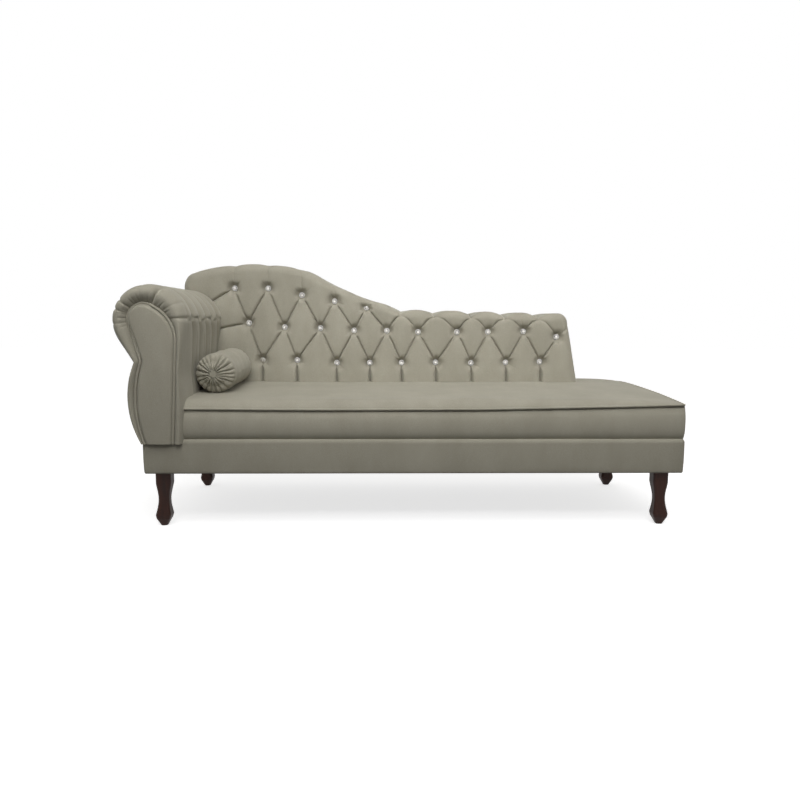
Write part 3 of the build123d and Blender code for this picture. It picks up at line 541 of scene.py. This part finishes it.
# cloth panel that closes the back behind; its rims run outward and forward
rearPanel = dict(
    inset=0.017, edge=0.008, y=0.3355, swell=0.0035, columns=200, lowRows=20, rows=60,
    rims=((0.004, 0.0), (0.007, -0.0015), (0.008, -0.004)))


def makeRearPanel():
    flat, index, ring, out = backGrid(rearPanel["inset"] + rearPanel["edge"], rearPanel["columns"],
                                      rearPanel["lowRows"], rearPanel["rows"])
    grid = lifted(flat - scallopDrop(flat),
                  rearPanel["y"] + rearPanel["swell"] * (0.5 + 0.3 * ripple(*flat.T, 0.3, 8)))
    piece = rimmedPiece("backRearPanel", grid, index, ring, turnedRows(grid[ring], out, rearPanel["rims"]), flip=True)
    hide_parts("back_rear_cover")
    return dress(piece)


makeRearPanel()


# seat: crowned top, boxed border, welt along the top seam
# main and end: heights of the front edge, the roll, the middle and the rear, for most of the length and at the free end
seatPad = dict(
    left=-0.7096, right=0.925, front=-0.322, rear=0.340, bottom=0.294, roll=0.070, middle=0.380,
    main=(0.098, 0.131, 0.1445, 0.149), end=(0.115, 0.1203, 0.135, 0.136), endRun=0.260, seamRun=0.675, bulge=0.004,
    hemTuck=0.010, seamTuck=0.009, corner=0.012, cornerPull=0.008, endSwell=0.0035, columns=420, borderRows=21,
    rearRows=14, behindBack=0.045, weltRadius=0.0036, weltOut=0.0045, weltUp=0.0010, endWeltIn=0.0032)


def seatHeights(x):
    # the seam climbs early and the rear falls late towards the free end
    seam = np.clip(1 - (seatPad["right"] - x) / seatPad["seamRun"], 0, 1) ** 1.2
    end = np.clip(1 - (seatPad["right"] - x) / seatPad["endRun"], 0, 1)
    shares = (seam, end ** 2, end ** 3, end ** 4)
    return [seatPad["bottom"] + a + (b - a) * share for a, b, share in zip(seatPad["main"], seatPad["end"], shares)]


def seatProfile(x):
    # border and top from front to rear
    edge, roll, middle, rearEdge = seatHeights(x)
    front, rear, low, rollRun = seatPad["front"], seatPad["rear"], seatPad["bottom"], seatPad["roll"]
    t = np.linspace(0, 1, seatPad["borderRows"])
    tuckedIn = seatPad["hemTuck"] * (1 - t) ** 9 + seatPad["seamTuck"] * t ** 6
    border = np.c_[front + 0.001 + tuckedIn - seatPad["bulge"] * np.sin(pi * t) ** 0.7,
                   low - 0.001 + (edge - 0.004 - low) * t]
    seam = [(front + 0.0100, edge - 0.0035), (front + 0.0070, edge - 0.0005)]
    top = arcThrough((front + rollRun, roll), (front + seatPad["middle"], middle), (rear, rearEdge), 110)
    slope = (top[1, 1] - top[0, 1]) / (top[1, 0] - top[0, 0])
    t = np.linspace(0, 1, 41)[1:-1] ** 1.3
    rise = roll - edge - slope * rollRun
    rolled = np.c_[front + rollRun * t, edge + slope * (rollRun * t) + rise * (1 - (1 - t) ** 4)]
    t = np.linspace(0, 1, seatPad["rearRows"] + 1)[1:]
    back = np.c_[rear + 0.003 * np.sin(pi * t), rearEdge - (rearEdge - low) * t]
    return np.vstack([border[:-1], seam, rolled, top[:-1], [(rear - 0.003, rearEdge - 0.0008)], back])


def seatSheet():
    # the profiles side by side, with a rounded upright corner at the free end
    corner = seatPad["corner"]
    straight = seatPad["right"] - corner
    xs = np.concatenate([np.linspace(seatPad["left"], straight, seatPad["columns"]),
                         seatPad["right"] - corner * (1 - np.sin(np.linspace(0, pi / 2, 9)[1:]))])
    middle = (seatPad["front"] + seatPad["rear"]) / 2
    columns = []
    for x in xs:
        y, z = seatProfile(x).T
        past = max(0, x - straight) / corner
        pull = seatPad["cornerPull"] * (1 - sqrt(max(0, 1 - past ** 2)))
        y = y + np.sign(middle - y) * pull * smooth(0.25, 0.33, np.abs(y - middle))
        columns.append(np.c_[np.full(len(y), x), y, z])
    points = np.array(columns)
    top, border = points[:, seatPad["borderRows"] + 1:], points[:, :seatPad["borderRows"]]
    top[..., 2] += 0.0012 * ripple(top[..., 0], top[..., 1], 0.35, 3) * smooth(0.31, 0.38, top[..., 2])
    pucker = np.exp(-((border[..., 2] - border[:, -1:, 2]) / 0.03) ** 2)  # under the seam
    border[..., 1] += 0.0006 * ripple(border[..., 0], border[..., 2], 0.05, 4) * pucker
    border[..., 1] += 0.0012 * ripple(border[..., 0], border[..., 2] * 0.5, 0.4, 6)
    wave = 0.0016 * ripple(points[:, :1, 0], 0 * points[:, :1, 0], 0.8, 9)
    points[..., 2] += wave * smooth(0.30, 0.38, points[..., 2])
    return points


def seatEnd(lastLine):
    # flat border that closes the free end and meets the front and rear borders
    seam, rearRows, floor, rows = seatPad["borderRows"], seatPad["rearRows"], seatPad["bottom"], []
    front, rear = lastLine[:seam], lastLine[:-rearRows - 1:-1]
    for t in np.linspace(0, 1, 16):
        row = lastLine[seam + 1:-rearRows].copy()
        row[:, 2] = floor + (row[:, 2] - 0.002 - floor) * (1 - t)
        foremost = np.interp(row[0, 2], front[:, 2], front[:, 1])
        rearmost = np.interp(row[-1, 2], rear[:, 2], rear[:, 1])
        across = (row[:, 1] - row[0, 1]) / (row[-1, 1] - row[0, 1])
        row[:, 1] = foremost + (rearmost - foremost) * across
        swell = seatPad["endSwell"] * sin(pi * t) * smooth(0, 0.06, np.minimum(across, 1 - across))
        row[:, 0] = seatPad["right"] - 0.0005 + swell - 0.003 * (t == 0)
        rows.append(row)
    return np.array(rows)


def makeSeat():
    points = seatSheet()
    quads = gridQuads(np.arange(points.shape[0] * points.shape[1]).reshape(points.shape[:2]), flip=True)
    centre = points.reshape(-1, 3)[quads].mean(1)
    rightLimit = np.interp(centre[:, 2], backRight[:, 1], backRight[:, 0]) - 0.02
    hidden = (centre[:, 1] > backPad["front"] + seatPad["behindBack"]) & (centre[:, 0] < rightLimit)
    body = meshPiece("seatBody", points.reshape(-1, 3), quads[~hidden])
    side = gridPiece("seatSide", seatEnd(points[-1]), flip=True)
    piece = joinPieces("seatPad", [body, side])
    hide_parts("seat_cover", "seat_foam")
    dress(piece)
    seamRow = seatPad["borderRows"]
    seam = points[:-6, seamRow] + (0, -seatPad["weltOut"], seatPad["weltUp"])
    frontWelt = tubeAlong("seatWeltFront", seam, seatPad["weltRadius"])
    edgeLine = points[-1, seamRow + 3:-seatPad["rearRows"] - 1] - (0, 0, 0.001)
    edgeLine[:, 0] = seatPad["right"] - seatPad["endWeltIn"]
    endWelt = tubeAlong("seatWeltEnd", edgeLine, seatPad["weltRadius"] * 0.9)
    welt = joinPieces("seatWelt", [frontWelt, endWelt])
    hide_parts("seat_welt")
    dress(welt)
    return piece


seatPiece = makeSeat()
print("seat made,", len(seatPiece.data.polygons), "faces")


# base: cloth drawn round the rails, with a soft roll along its top edge
# hem and lip: how far out the cloth lies, and how far above the bottom or the top
baseBand = dict(
    x=(-0.842, 0.925), y=(-0.322, 0.340), bottom=0.181, top=0.294, corner=0.009, spacing=0.012, bulge=0.0016,
    unevenness=0.0010, hem=((-0.020, 0.0006), (-0.006, 0.0004), (-0.0025, 0.001), (-0.0008, 0.003)),
    lip=((0.0015, -0.0110), (0.0012, -0.0085), (0.0005, -0.0060), (-0.0006, -0.0036), (-0.0022, -0.0014),
         (-0.0042, 0.0002), (-0.0070, 0.0012), (-0.0280, 0.0014)))
baseLedge = dict(x=(-0.840, -0.790), y=(0.150, 0.338), up=0.0012)  # top of the base behind the arm


def makeBase():
    c, (left, right), (front, rear) = baseBand["corner"], baseBand["x"], baseBand["y"]
    corners, line = [], []
    for x, y, start in ((left, front, 180), (right, front, 270), (right, rear, 0), (left, rear, 90)):
        centre = np.array([x - copysign(c, x), y - copysign(c, y)])
        for turn in np.linspace(start, start + 90, 9):
            corners.append(np.concatenate([centre + c * toward(turn), toward(turn)]))
    for p, q in zip(corners, corners[1:] + corners[:1]):
        steps = max(1, int(dist(p[:2], q[:2]) / baseBand["spacing"]))
        line += [p + (q - p) * k / steps for k in range(steps)]
    path, out = np.split(np.array(line), 2, axis=1)
    out = unit(out)
    low, high = baseBand["bottom"], baseBand["top"]
    wall = [(baseBand["bulge"] * sin(pi / 2 * min(1, 1.6 * t)), low + 0.005 + (high - low - 0.019) * t)
            for t in np.linspace(0, 1, 18)]
    profile = [(o, low + z) for o, z in baseBand["hem"]] + wall + [(o, high + z) for o, z in baseBand["lip"]]
    points = np.array([[(*(p + n * o), z) for p, n in zip(path, out)] for o, z in profile])
    shift = baseBand["unevenness"] * ripple(points[..., 0] + points[..., 1], points[..., 2] * 0.3, 0.45, 12)
    points[..., :2] += out[None] * (shift * smooth(0.183, 0.2, points[..., 2]))[..., None]
    bands = gridPiece("baseBands", points, around=True)
    grid = np.array([[(x, y, high + baseLedge["up"]) for x in np.linspace(*baseLedge["x"], 12)]
                     for y in np.linspace(*baseLedge["y"], 20)])
    piece = joinPieces("baseCover", [bands, gridPiece("baseLedge", grid)])
    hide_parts("base_cover_bands")
    return dress(piece)


makeBase()


# cloth under the base
dustSheet = dict(x=(-0.836, 0.919), y=(-0.316, 0.334), z=0.1818, sag=0.006, endRun=0.25, unevenness=0.25)


def makeDustSheet():
    xs, ys = np.linspace(*dustSheet["x"], 90), np.linspace(*dustSheet["y"], 40)
    x, y = np.meshgrid(xs, ys)
    fall = smooth(0, dustSheet["endRun"], xs - xs[0]) * smooth(0, dustSheet["endRun"], xs[-1] - xs)
    fall = fall * (np.sin(pi * (ys - ys[0]) / (ys[-1] - ys[0])) ** 0.7)[:, None]
    z = dustSheet["z"] - dustSheet["sag"] * fall * (1 + dustSheet["unevenness"] * ripple(x, y, 0.3, 15))
    piece = gridPiece("dustSheet", np.stack([x, y, z], -1), flip=True)
    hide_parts("base_dust_cover")
    return dress(piece, dustCloth)


makeDustSheet()
print("base covered")


# rolled arm: one section carried from the facing to the back, pleated at the buttons
armPad = dict(
    left=-0.925, baseLeft=-0.842, inner=-0.710, swell=0.005, bottom=0.294, droop=0.012, height=0.792, shoulder=0.500,
    roll=0.116, rollEnd=215, neckOut=0.018, neckHeight=0.544, bellyOut=0.043, rear=0.1526, rows=150, outerSide=-0.80,
    sharpNeck=0.03, settleRun=0.030, settleBelow=0.36, rearInset=0.0164,
    turnedOver=((-0.004, 0.0002), (-0.012, 0.0002), (-0.022, 0.0002)))
# folds that run up and down from each button, and a weak one half way to the next
armPleat = dict(
    well=0.0132, wellFlat=0.008, wellSlope=0.0144, up=0.0120, upRun=0.16, down=0.0135, downRun=0.24, bow=0.036,
    bowRun=0.05, wander=(0.008, 9), fold=0.0050, swell=0.024, sharpShare=0.6, fullness=(0.6, 1.15), between=0.0030,
    halfWay=0.0425, betweenWander=(0.012, 6), betweenWidth=0.006, betweenFade=0.05)
armSeam = dict(line=0.0030, width=0.005, under=0.0035, underRun=0.035, wave=(0.004, 40))
armPillow = dict(rise=0.0050, halfHeight=0.05, gap=0.017)  # between the buttons
# folds over the nose by their angle round the roll, and gathers round the facing
noseFolds = {30: 0.0025, 68: 0.0220, 100: 0.0020, 143: 0.0055, 160: 0.0060, 186: 0.0025}
noseGathers = dict(
    count=17, first=20, step=11, jitter=0.3, depth=0.0062, reach=0.34, width=1.6, foldWidth=2.2, tuftFold=0.0090,
    tuftWidth=0.004, above=0.6)
noseRing = dict(
    lobeGroove=-0.3182, sideGroove=-0.3255, crest=-0.3425, sideStart=-0.298, crestAt=0.54, inward=0.75,
    sideCrease=0.0050, sideRun=0.035, blendRun=0.02, under=-0.10, rows=22, spacing=0.8, capTo=0.6, cap=0.0002,
    unevenness=0.0008)
rollCentre = np.array([armPad["left"] + armPad["roll"], armPad["height"] - armPad["roll"]])


def armSection(bottom, inset=0):
    # from the foot of the inner side up, round the roll and down the outer side
    arc = onCircle(rollCentre, armPad["roll"] - inset, np.radians(np.linspace(0, armPad["rollEnd"], 151)))
    side, outer = armPad["inner"] - inset, armPad["baseLeft"] + inset
    shoulder = (side, armPad["shoulder"])
    neck = (outer - armPad["neckOut"], armPad["neckHeight"])
    belly = (outer - armPad["bellyOut"], (armPad["bottom"] + armPad["neckHeight"]) / 2)
    upright = lineTo((side, bottom), shoulder, 60)
    upright[:, 0] += armPad["swell"] * np.sin(pi * np.linspace(0, 1, 61))
    points = np.vstack([upright, lineTo(shoulder, arc[0], 36)[1:], arc[1:], lineTo(arc[-1], neck, 16)[1:],
                        arcThrough(neck, belly, (outer, bottom), 56)[1:]])
    fromNeck = np.abs(points[:, 1] - armPad["neckHeight"]) + (points[:, 0] > armPad["outerSide"])
    return points + (eased(points, 12) - points) * smooth(0.0, armPad["sharpNeck"], fromNeck)[:, None]


# facing: a small lobe that leans out over a straight inner side and a bellied outer side
facing = dict(
    lobe=(-0.8215, 0.6795), lobeRadius=0.0487, lobeFrom=62, lobeTo=205, shoulder=(-0.7507, 0.686),
    sideTop=(-0.7262, 0.605), sideFoot=-0.7440, neck=(-0.8311, 0.547), belly=(-0.8532, 0.415), outerFoot=-0.8290,
    front=-0.3402, depth=0.0165, round=0.012, dome=0.0015, domeRun=0.04, unevenness=0.0008, welt=0.0054,
    weltRadius=0.0042, weltFront=-0.3325, weltSunk=0.009)


def facingOutline(grow=0.0):
    low = armPad["bottom"] - armPad["droop"]
    lobe = onCircle(facing["lobe"], facing["lobeRadius"],
                    np.radians(np.linspace(facing["lobeFrom"], facing["lobeTo"], 161)))
    points = np.vstack([lineTo((facing["sideFoot"], low), facing["sideTop"], 120),
                        arcThrough(facing["sideTop"], facing["shoulder"], lobe[0], 80)[1:], lobe[1:],
                        lineTo(lobe[-1], facing["neck"], 40)[1:],
                        arcThrough(facing["neck"], facing["belly"], (facing["outerFoot"], low), 120)[1:]])
    points = eased(points, 6)
    return points - leftNormals(points) * grow


def acrossAt(side, z):
    # x of a side line at a height, where the line goes up
    return np.interp(z, np.maximum.accumulate(side[:, 1]), side[:, 0])


def facingBeside(section, lobeFoot=0.62):
    # points of the facing's outline that lie beside the points of the arm's section
    line = facingOutline(facing["welt"])
    top = int(np.argmax(line[:, 1]))
    right, left = line[:top + 1], line[top:]
    centre = np.array(facing["lobe"])
    seen, rollSeen = [np.unwrap(np.arctan2(*(spots - centre).T[::-1])) for spots in (line, section)]
    topTurn = int(np.argmax(section[:, 1]))
    beside = []
    for k, (x, z) in enumerate(section):
        if k <= topTurn and z < centre[1]:
            beside.append((acrossAt(right, z), z))
        elif k > topTurn and z < lobeFoot:
            beside.append((acrossAt(left * (1, -1), -z), z))
        else:
            beside.append([np.interp(rollSeen[k], seen, line[:, axis]) for axis in (0, 1)])
    return eased(np.array(beside), 6)


def besideLobe(line):
    # 1 round the lobe, 0 at the neck and along the inner side, where the facing's board lies further out
    return smooth(0.56, 0.64, line[:, 1]) * smooth(-0.788, -0.806, line[:, 0])


def noseCreases(outer, away, pick):
    # depths of the folds over the nose and of the gathers round the facing, along the section
    aim = np.degrees(np.arctan2(*(outer - rollCentre).T[::-1]))
    aim = np.where((aim < -90) & (outer[:, 1] > 0.58), aim + 360, aim)
    onRoll = outer[:, 1] > noseGathers["above"]
    folds = noseGathers["tuftFold"] * np.exp(-np.abs(away) / noseGathers["tuftWidth"])  # to the first tuft
    for turn, deep in noseFolds.items():
        folds = np.maximum(folds, deep * np.exp(-np.abs(aim - turn) / noseGathers["foldWidth"]) * onRoll)
    gathers = np.zeros(len(outer))
    jitter = noseGathers["jitter"]
    for k in range(noseGathers["count"]):
        turn = noseGathers["first"] + noseGathers["step"] * (k + pick.uniform(-jitter, jitter))
        deep = noseGathers["depth"] * pick.uniform(0.4, 1.0)
        gathers = np.maximum(gathers, deep * np.exp(-np.abs(aim - turn) / noseGathers["width"]) * onRoll)
    return folds, gathers


def noseRows(inside, hang, out, folds, sideFolds, gathers):
    # padded ring round the facing, from under the facing's edge to the arm's side
    crest, crestAt = noseRing["crest"], noseRing["crestAt"]
    groove = noseRing["sideGroove"] + (noseRing["lobeGroove"] - noseRing["sideGroove"]) * besideLobe(inside)
    rows = []
    for w in [noseRing["under"], *np.linspace(0, 1, noseRing["rows"]) ** noseRing["spacing"]]:
        turned = max(0, (w - crestAt) / (1 - crestAt))  # 0 faces the front, 1 the side
        level = sqrt(1 - turned ** 2)
        flat = inside + (hang - inside) * w - out * (sideFolds * turned)[:, None]
        if w < crestAt:
            y = groove + (crest - groove) * sin(max(w, 0) / crestAt * pi / 2) ** noseRing["inward"]
        else:
            y = crest + (noseRing["sideStart"] - crest) * (1 - level)
        y = y + folds * (0.5 + 0.5 * w) * level + gathers * exp(-(w / noseGathers["reach"]) ** 2)
        y = y + noseRing["unevenness"] * ripple(*flat.T, 0.08, 21)
        if w < noseRing["capTo"]:
            y = np.minimum(y, groove + noseRing["cap"])  # no fold reaches the boards behind
        rows.append(lifted(flat, y))
    return rows


def pleatSink(y, away, strength, buttons, fullness):
    # how deep the cover lies at one station of the arm, along the section
    below = np.clip(away, None, 0)
    sharp, (swing, pace), (sway, swayPace) = armPleat["sharpShare"], armPleat["wander"], armPleat["betweenWander"]
    sink = np.zeros(len(away))
    for k, spot in enumerate(buttons[:, 1]):
        lean = spot + armPleat["bow"] * (1 - np.exp(below / armPleat["bowRun"]))
        lean = lean + swing * np.sin(away * pace + k) * (away > 0)
        gap = np.abs(y - lean)
        fold = sharp * np.exp(-gap / armPleat["fold"]) + (1 - sharp) * np.exp(-(gap / armPleat["swell"]) ** 2)
        well = smooth(armPleat["wellFlat"], armPleat["wellFlat"] + armPleat["wellSlope"], np.hypot(y - spot, away))
        sink = np.maximum(sink, np.maximum(strength * fullness[k] * fold, armPleat["well"] * (1 - well)))
        aside = np.abs(y - (lean + armPleat["halfWay"]) - sway * np.sin(away * swayPace + 3 * k))
        weak = armPleat["between"] * np.exp(-aside / armPleat["betweenWidth"])
        sink = np.maximum(sink, weak * (away < 0) * smooth(0, -armPleat["betweenFade"], away))
    high, often = armSeam["wave"]
    line = away + high * sin(y * often)  # seam along the foot of the roll
    under = armSeam["under"] * (line < 0) * np.exp(np.clip(line, None, 0) / armSeam["underRun"])
    sink = np.maximum(sink, armSeam["line"] * np.exp(-np.abs(line) / armSeam["width"]) + under)
    nearest = np.min(np.abs(buttons[:, 1] - y))
    pillow = np.exp(-(away / armPillow["halfHeight"]) ** 2) * (1 - exp(-(nearest / armPillow["gap"]) ** 2))
    return sink, armPillow["rise"] * pillow


def makeArm():
    outer = armSection(armPad["bottom"])
    hang = armSection(armPad["bottom"] - armPad["droop"])
    out, run = -leftNormals(outer), runAlong(outer)
    buttons = lumpCentres("arm_button_cups", 1)
    away = run - run[np.argmin(np.linalg.norm(outer - buttons[0][[0, 2]], axis=1))]  # up over the roll is positive
    pick = np.random.default_rng(23)
    folds, gathers = noseCreases(outer, away, pick)
    fullness = pick.uniform(*armPleat["fullness"], len(buttons))
    sideFolds = np.minimum(folds, noseRing["sideCrease"])
    rows = noseRows(facingBeside(hang), hang, out, folds, sideFolds, gathers)
    up = np.exp(-np.clip(away, 0, None) / armPleat["upRun"]) * (away >= 0)
    down = np.exp(np.clip(away, None, 0) / armPleat["downRun"]) * (away < 0)
    strength = (armPleat["up"] * up + armPleat["down"] * down) * smooth(-0.02, 0.05, run[-1] - run)
    start = noseRing["sideStart"] + 0.003
    for y in np.linspace(start, armPad["rear"], armPad["rows"]):
        fromNose = sideFolds * exp(-(y - start) / noseRing["sideRun"])
        sink, pillow = pleatSink(y, away, strength, buttons, fullness)
        blend = smooth(0.0, noseRing["blendRun"], y - start)
        sink = (np.maximum(sink, fromNose) - pillow) * blend + fromNose * (1 - blend)
        settle = 1 - smooth(0.0, armPad["settleRun"], y - start)
        flat = outer - out * sink[:, None] + (hang - outer) * settle * (outer[:, 1:] < armPad["settleBelow"])
        rows.append(lifted(flat, y))
    rows += turnedRows(rows[-1], out, armPad["turnedOver"])
    piece = gridPiece("armCover", np.array(rows))
    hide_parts("arm_tufted_cover", "arm_foam")
    return dress(piece)


armPiece = makeArm()
print("arm made,", len(armPiece.data.polygons), "faces")


# flat panels: the facing in front and the closing panel behind
def sectionPanel(outline, rowsUp, across, lift):
    # grid inside an outline, row by row from the foot to the top; lift gives y from the distance to the edge
    top = int(np.argmax(outline[:, 1]))
    right, left = outline[:top + 1], outline[top:][::-1]
    low, high = max(right[0, 1], left[0, 1]), outline[top, 1]
    u = 0.5 - 0.5 * np.cos(np.linspace(0, pi, across))
    grid = []
    for z in low + (high - low) * (1 - (1 - np.linspace(0, 1, rowsUp)) ** 1.8) * 0.99995:
        xl, xr = acrossAt(left, z), acrossAt(right, z)
        grid.append(np.c_[xl + (xr - xl) * u, np.full(across, z)])
    flat = np.array(grid)
    spots, dense = flat.reshape(-1, 2), evenly(outline, 900)
    gap = np.sqrt(np.min(((spots[:, None] - dense[None]) ** 2).sum(-1), 1)).reshape(flat.shape[:2])
    return lifted(flat, lift(flat, gap))


def makeFacing():
    def lift(flat, gap):
        edge = np.clip(1 - gap / facing["round"], 0, 1)
        swell = facing["dome"] * smooth(0, facing["domeRun"], gap)
        swell = swell + facing["unevenness"] * ripple(flat[..., 0], flat[..., 1], 0.12, 31)
        return facing["front"] + facing["dome"] + facing["depth"] * (1 - np.sqrt(1 - edge ** 2)) - swell

    piece = gridPiece("armFacing", sectionPanel(facingOutline(), 190, 46, lift))
    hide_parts("arm_facing_pad")
    dress(piece)
    line = evenly(eased(facingOutline(facing["welt"] * 0.5), 4), 420)
    path = lifted(line, facing["weltFront"] + facing["weltSunk"] * besideLobe(line))
    welt = tubeAlong("armFacingWelt", path, facing["weltRadius"], 12)
    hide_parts("arm_facing_welt")
    dress(welt)
    return piece


def makeArmRear():
    def lift(flat, gap):
        edge = 0.002 * (1 - smooth(0, 0.006, gap))
        return armPad["rear"] - edge - 0.0006 * (1 + ripple(flat[..., 0], flat[..., 1], 0.15, 33))

    outline = armSection(armPad["bottom"], armPad["rearInset"])
    piece = gridPiece("armRearPanel", sectionPanel(outline, 90, 24, lift), flip=True)
    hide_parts("arm_rear_cover")
    return dress(piece)


makeFacing()
makeArmRear()
print("facing made")


# bolster: gathered at both ends into covered buttons
bolster = dict(
    radius=0.067, length=0.345, dome=0.011, corner=0.024, puff=0.0085, eye=0.0086,
    rim=((-0.0015, 0.0010), (0.0, -0.0018)), rimPuff=0.0020, puffFrom=0.030, around=300, gathers=21,
    gatherDepth=0.0210, gatherStart=0.0150, gatherRun=(0.004, 0.052), unevenness=0.0016)


def bolsterProfile():
    # radius and distance along the axis, from one end to the other
    r, c, dome, eye, length = [bolster[key] for key in ("radius", "corner", "dome", "eye", "length")]
    half = [(eye + q, a) for q, a in bolster["rim"]]  # gathers close over the button's rim
    for q in np.linspace(eye + 0.0015, r - c, 25):
        puff = bolster["rimPuff"] + (bolster["puff"] - bolster["rimPuff"]) * smooth(eye, bolster["puffFrom"], q)
        half.append((q, (dome + bolster["puff"]) * ((q - eye) / (r - c - eye)) ** 2.2 - puff))
    half += [(r - c + c * sin(a), dome + c * (1 - cos(a))) for a in np.radians(np.linspace(0, 90, 14)[1:])]
    body = [(r, a) for a in np.linspace(dome + c, length - dome - c, 60)[1:-1]]
    return half + body + [(q, length - a) for q, a in half[::-1]]


def makeBolster():
    ends = lumpCentres("bolster_end_buttons", 1, 0.06)
    axis = ends[1] - ends[0]
    axis /= np.linalg.norm(axis)
    start = (ends[0] + ends[1]) / 2 - axis * bolster["length"] / 2
    side = np.array([1.0, 0, 0])
    up = np.cross(side, axis)
    flatEnd = bolster["radius"] - bolster["corner"]
    turns = np.linspace(0, 2 * pi, bolster["around"], endpoint=False)
    rows = []
    for q, a in bolsterProfile():
        fromEnd = min(a, bolster["length"] - a)
        near = a < bolster["length"] / 2
        lag = 0.0 if near else 2.1  # the two ends differ
        phase = bolster["gathers"] * turns / 2 + 0.55 * np.sin(3 * turns + lag) + 0.4 * np.sin(5 * turns + 1 + lag)
        pleat = np.abs(np.sin(phase)) ** 0.5
        uneven = 0.6 + 0.4 * np.sin(4 * turns + 2 + lag) * np.sin(7 * turns + lag)
        share = smooth(bolster["eye"], bolster["gatherStart"], q) * (1 - smooth(*bolster["gatherRun"], fromEnd)) ** 1.5
        sink = bolster["gatherDepth"] * (1 - pleat) * uneven * share
        twist = turns + 0.10 * smooth(0.05, 0.012, q) * np.sin(2 * turns + lag)
        inward, drawn = (0.85, 0.25) if q < flatEnd else (0.5, 0.9)
        swell = bolster["unevenness"] * ripple(turns * bolster["radius"], np.full_like(turns, a), 0.10, 19)
        radius = q - sink * drawn + swell * smooth(0.03, 0.07, fromEnd)
        place = a + sink * (inward if near else -inward)
        rows.append(start + axis * place[:, None] + side * (radius * np.cos(twist))[:, None]
                    + up * (radius * np.sin(twist))[:, None])
    piece = gridPiece("bolsterCover", np.array(rows), around=True)
    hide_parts("bolster_cover", "bolster_filling")
    return dress(piece, body="bolster")


makeBolster()
print("bolster made")


# finishes of the nodes that show as they are
nodeFinish = dict(
    suede_cloth=suede, leg_wood=legWood, frame_wood=frameWood, plywood=plyWood, webbing=webbingCloth,
    dust_cloth=dustCloth, steel=zincSteel, crystal=crystal, button_metal=brightCup, tuft_cord=cordNylon,
    retainer=retainer)
for row in frame["record"]["subparts"]:
    node = nodes[row["node"]]
    if node.hide_render or row["material_slot"] not in nodeFinish:
        continue
    node.data.materials.clear()
    node.data.materials.append(nodeFinish[row["material_slot"]])
print("nodes dressed")


# floor, white background and studio lamps
studio = dict(
    floorSize=30, floorZ=-0.0005, floorGlow=0.70, floorTone=0.75, floorBounce=0.06, sky=0.42,
    skyTone=(1, 0.99, 0.975))
lamps = dict(
    keyLamp=dict(place=(-0.1, -1.7, 3.0), aim=(0, 0.05, 0.45), size=(2.4, 2.4), spread=180, power=42),
    backLamp=dict(place=(0.25, -1.9, 1.75), aim=(0.25, 0.15, 0.72), size=(2.5, 0.4), spread=50, power=4.4))


def splitByRay(tree, spread, direct, ending):
    # direct shows to the camera, in mirrors and through glass; spread is what lights the object
    ray = add(tree, "LightPath")
    seen = ray.outputs["Is Camera Ray"]
    for kind in ("Is Glossy Ray", "Is Transmission Ray"):
        seen = add(tree, "Math", {0: seen, 1: ray.outputs[kind]}, operation="MAXIMUM").outputs[0]
    split = add(tree, "MixShader", {0: seen, 1: spread.outputs[0], 2: direct.outputs[0]})
    add(tree, ending, {"Surface": split.outputs[0]})


def makeFloor():
    half = studio["floorSize"] / 2
    points = np.array([[(x, y, studio["floorZ"]) for x in (-half, 0, half)] for y in (-half, 0, half)])
    floor = gridPiece("floor", points)
    paint, tree = newFinish("paleFloor")
    tree.nodes.clear()
    glow = add(tree, "Emission", Strength=studio["floorGlow"])
    pale = add(tree, "BsdfDiffuse", Color=(studio["floorTone"],) * 3 + (1,))
    both = add(tree, "AddShader", {0: glow.outputs[0], 1: pale.outputs[0]})
    bounce = add(tree, "BsdfDiffuse", Color=(studio["floorBounce"],) * 3 + (1,))
    splitByRay(tree, bounce, both, "OutputMaterial")
    floor.data.materials.append(paint)


def makeSky():
    world = bpy.data.worlds.new("studio")
    bpy.context.scene.world = world
    world.use_nodes = True
    tree = world.node_tree
    tree.nodes.clear()
    white = add(tree, "Background", Color=(1, 1, 1, 1), Strength=1)
    soft = add(tree, "Background", Color=(*studio["skyTone"], 1), Strength=studio["sky"])
    splitByRay(tree, soft, white, "OutputWorld")


def makeLamp(name, place, aim, size, spread, power):
    lamp = placed(name, bpy.data.lights.new(name, "AREA"))
    lamp.data.shape = "ELLIPSE"
    lamp.data.size, lamp.data.size_y = size
    lamp.data.spread = radians(spread)
    lamp.data.energy = power
    lamp.location = place
    lamp.rotation_euler = (Vector(aim) - Vector(place)).to_track_quat("-Z", "Y").to_euler()


makeFloor()
makeSky()
for name, lamp in lamps.items():
    makeLamp(name, **lamp)
bpy.context.scene.view_settings.view_transform = "Standard"
print("studio lit")
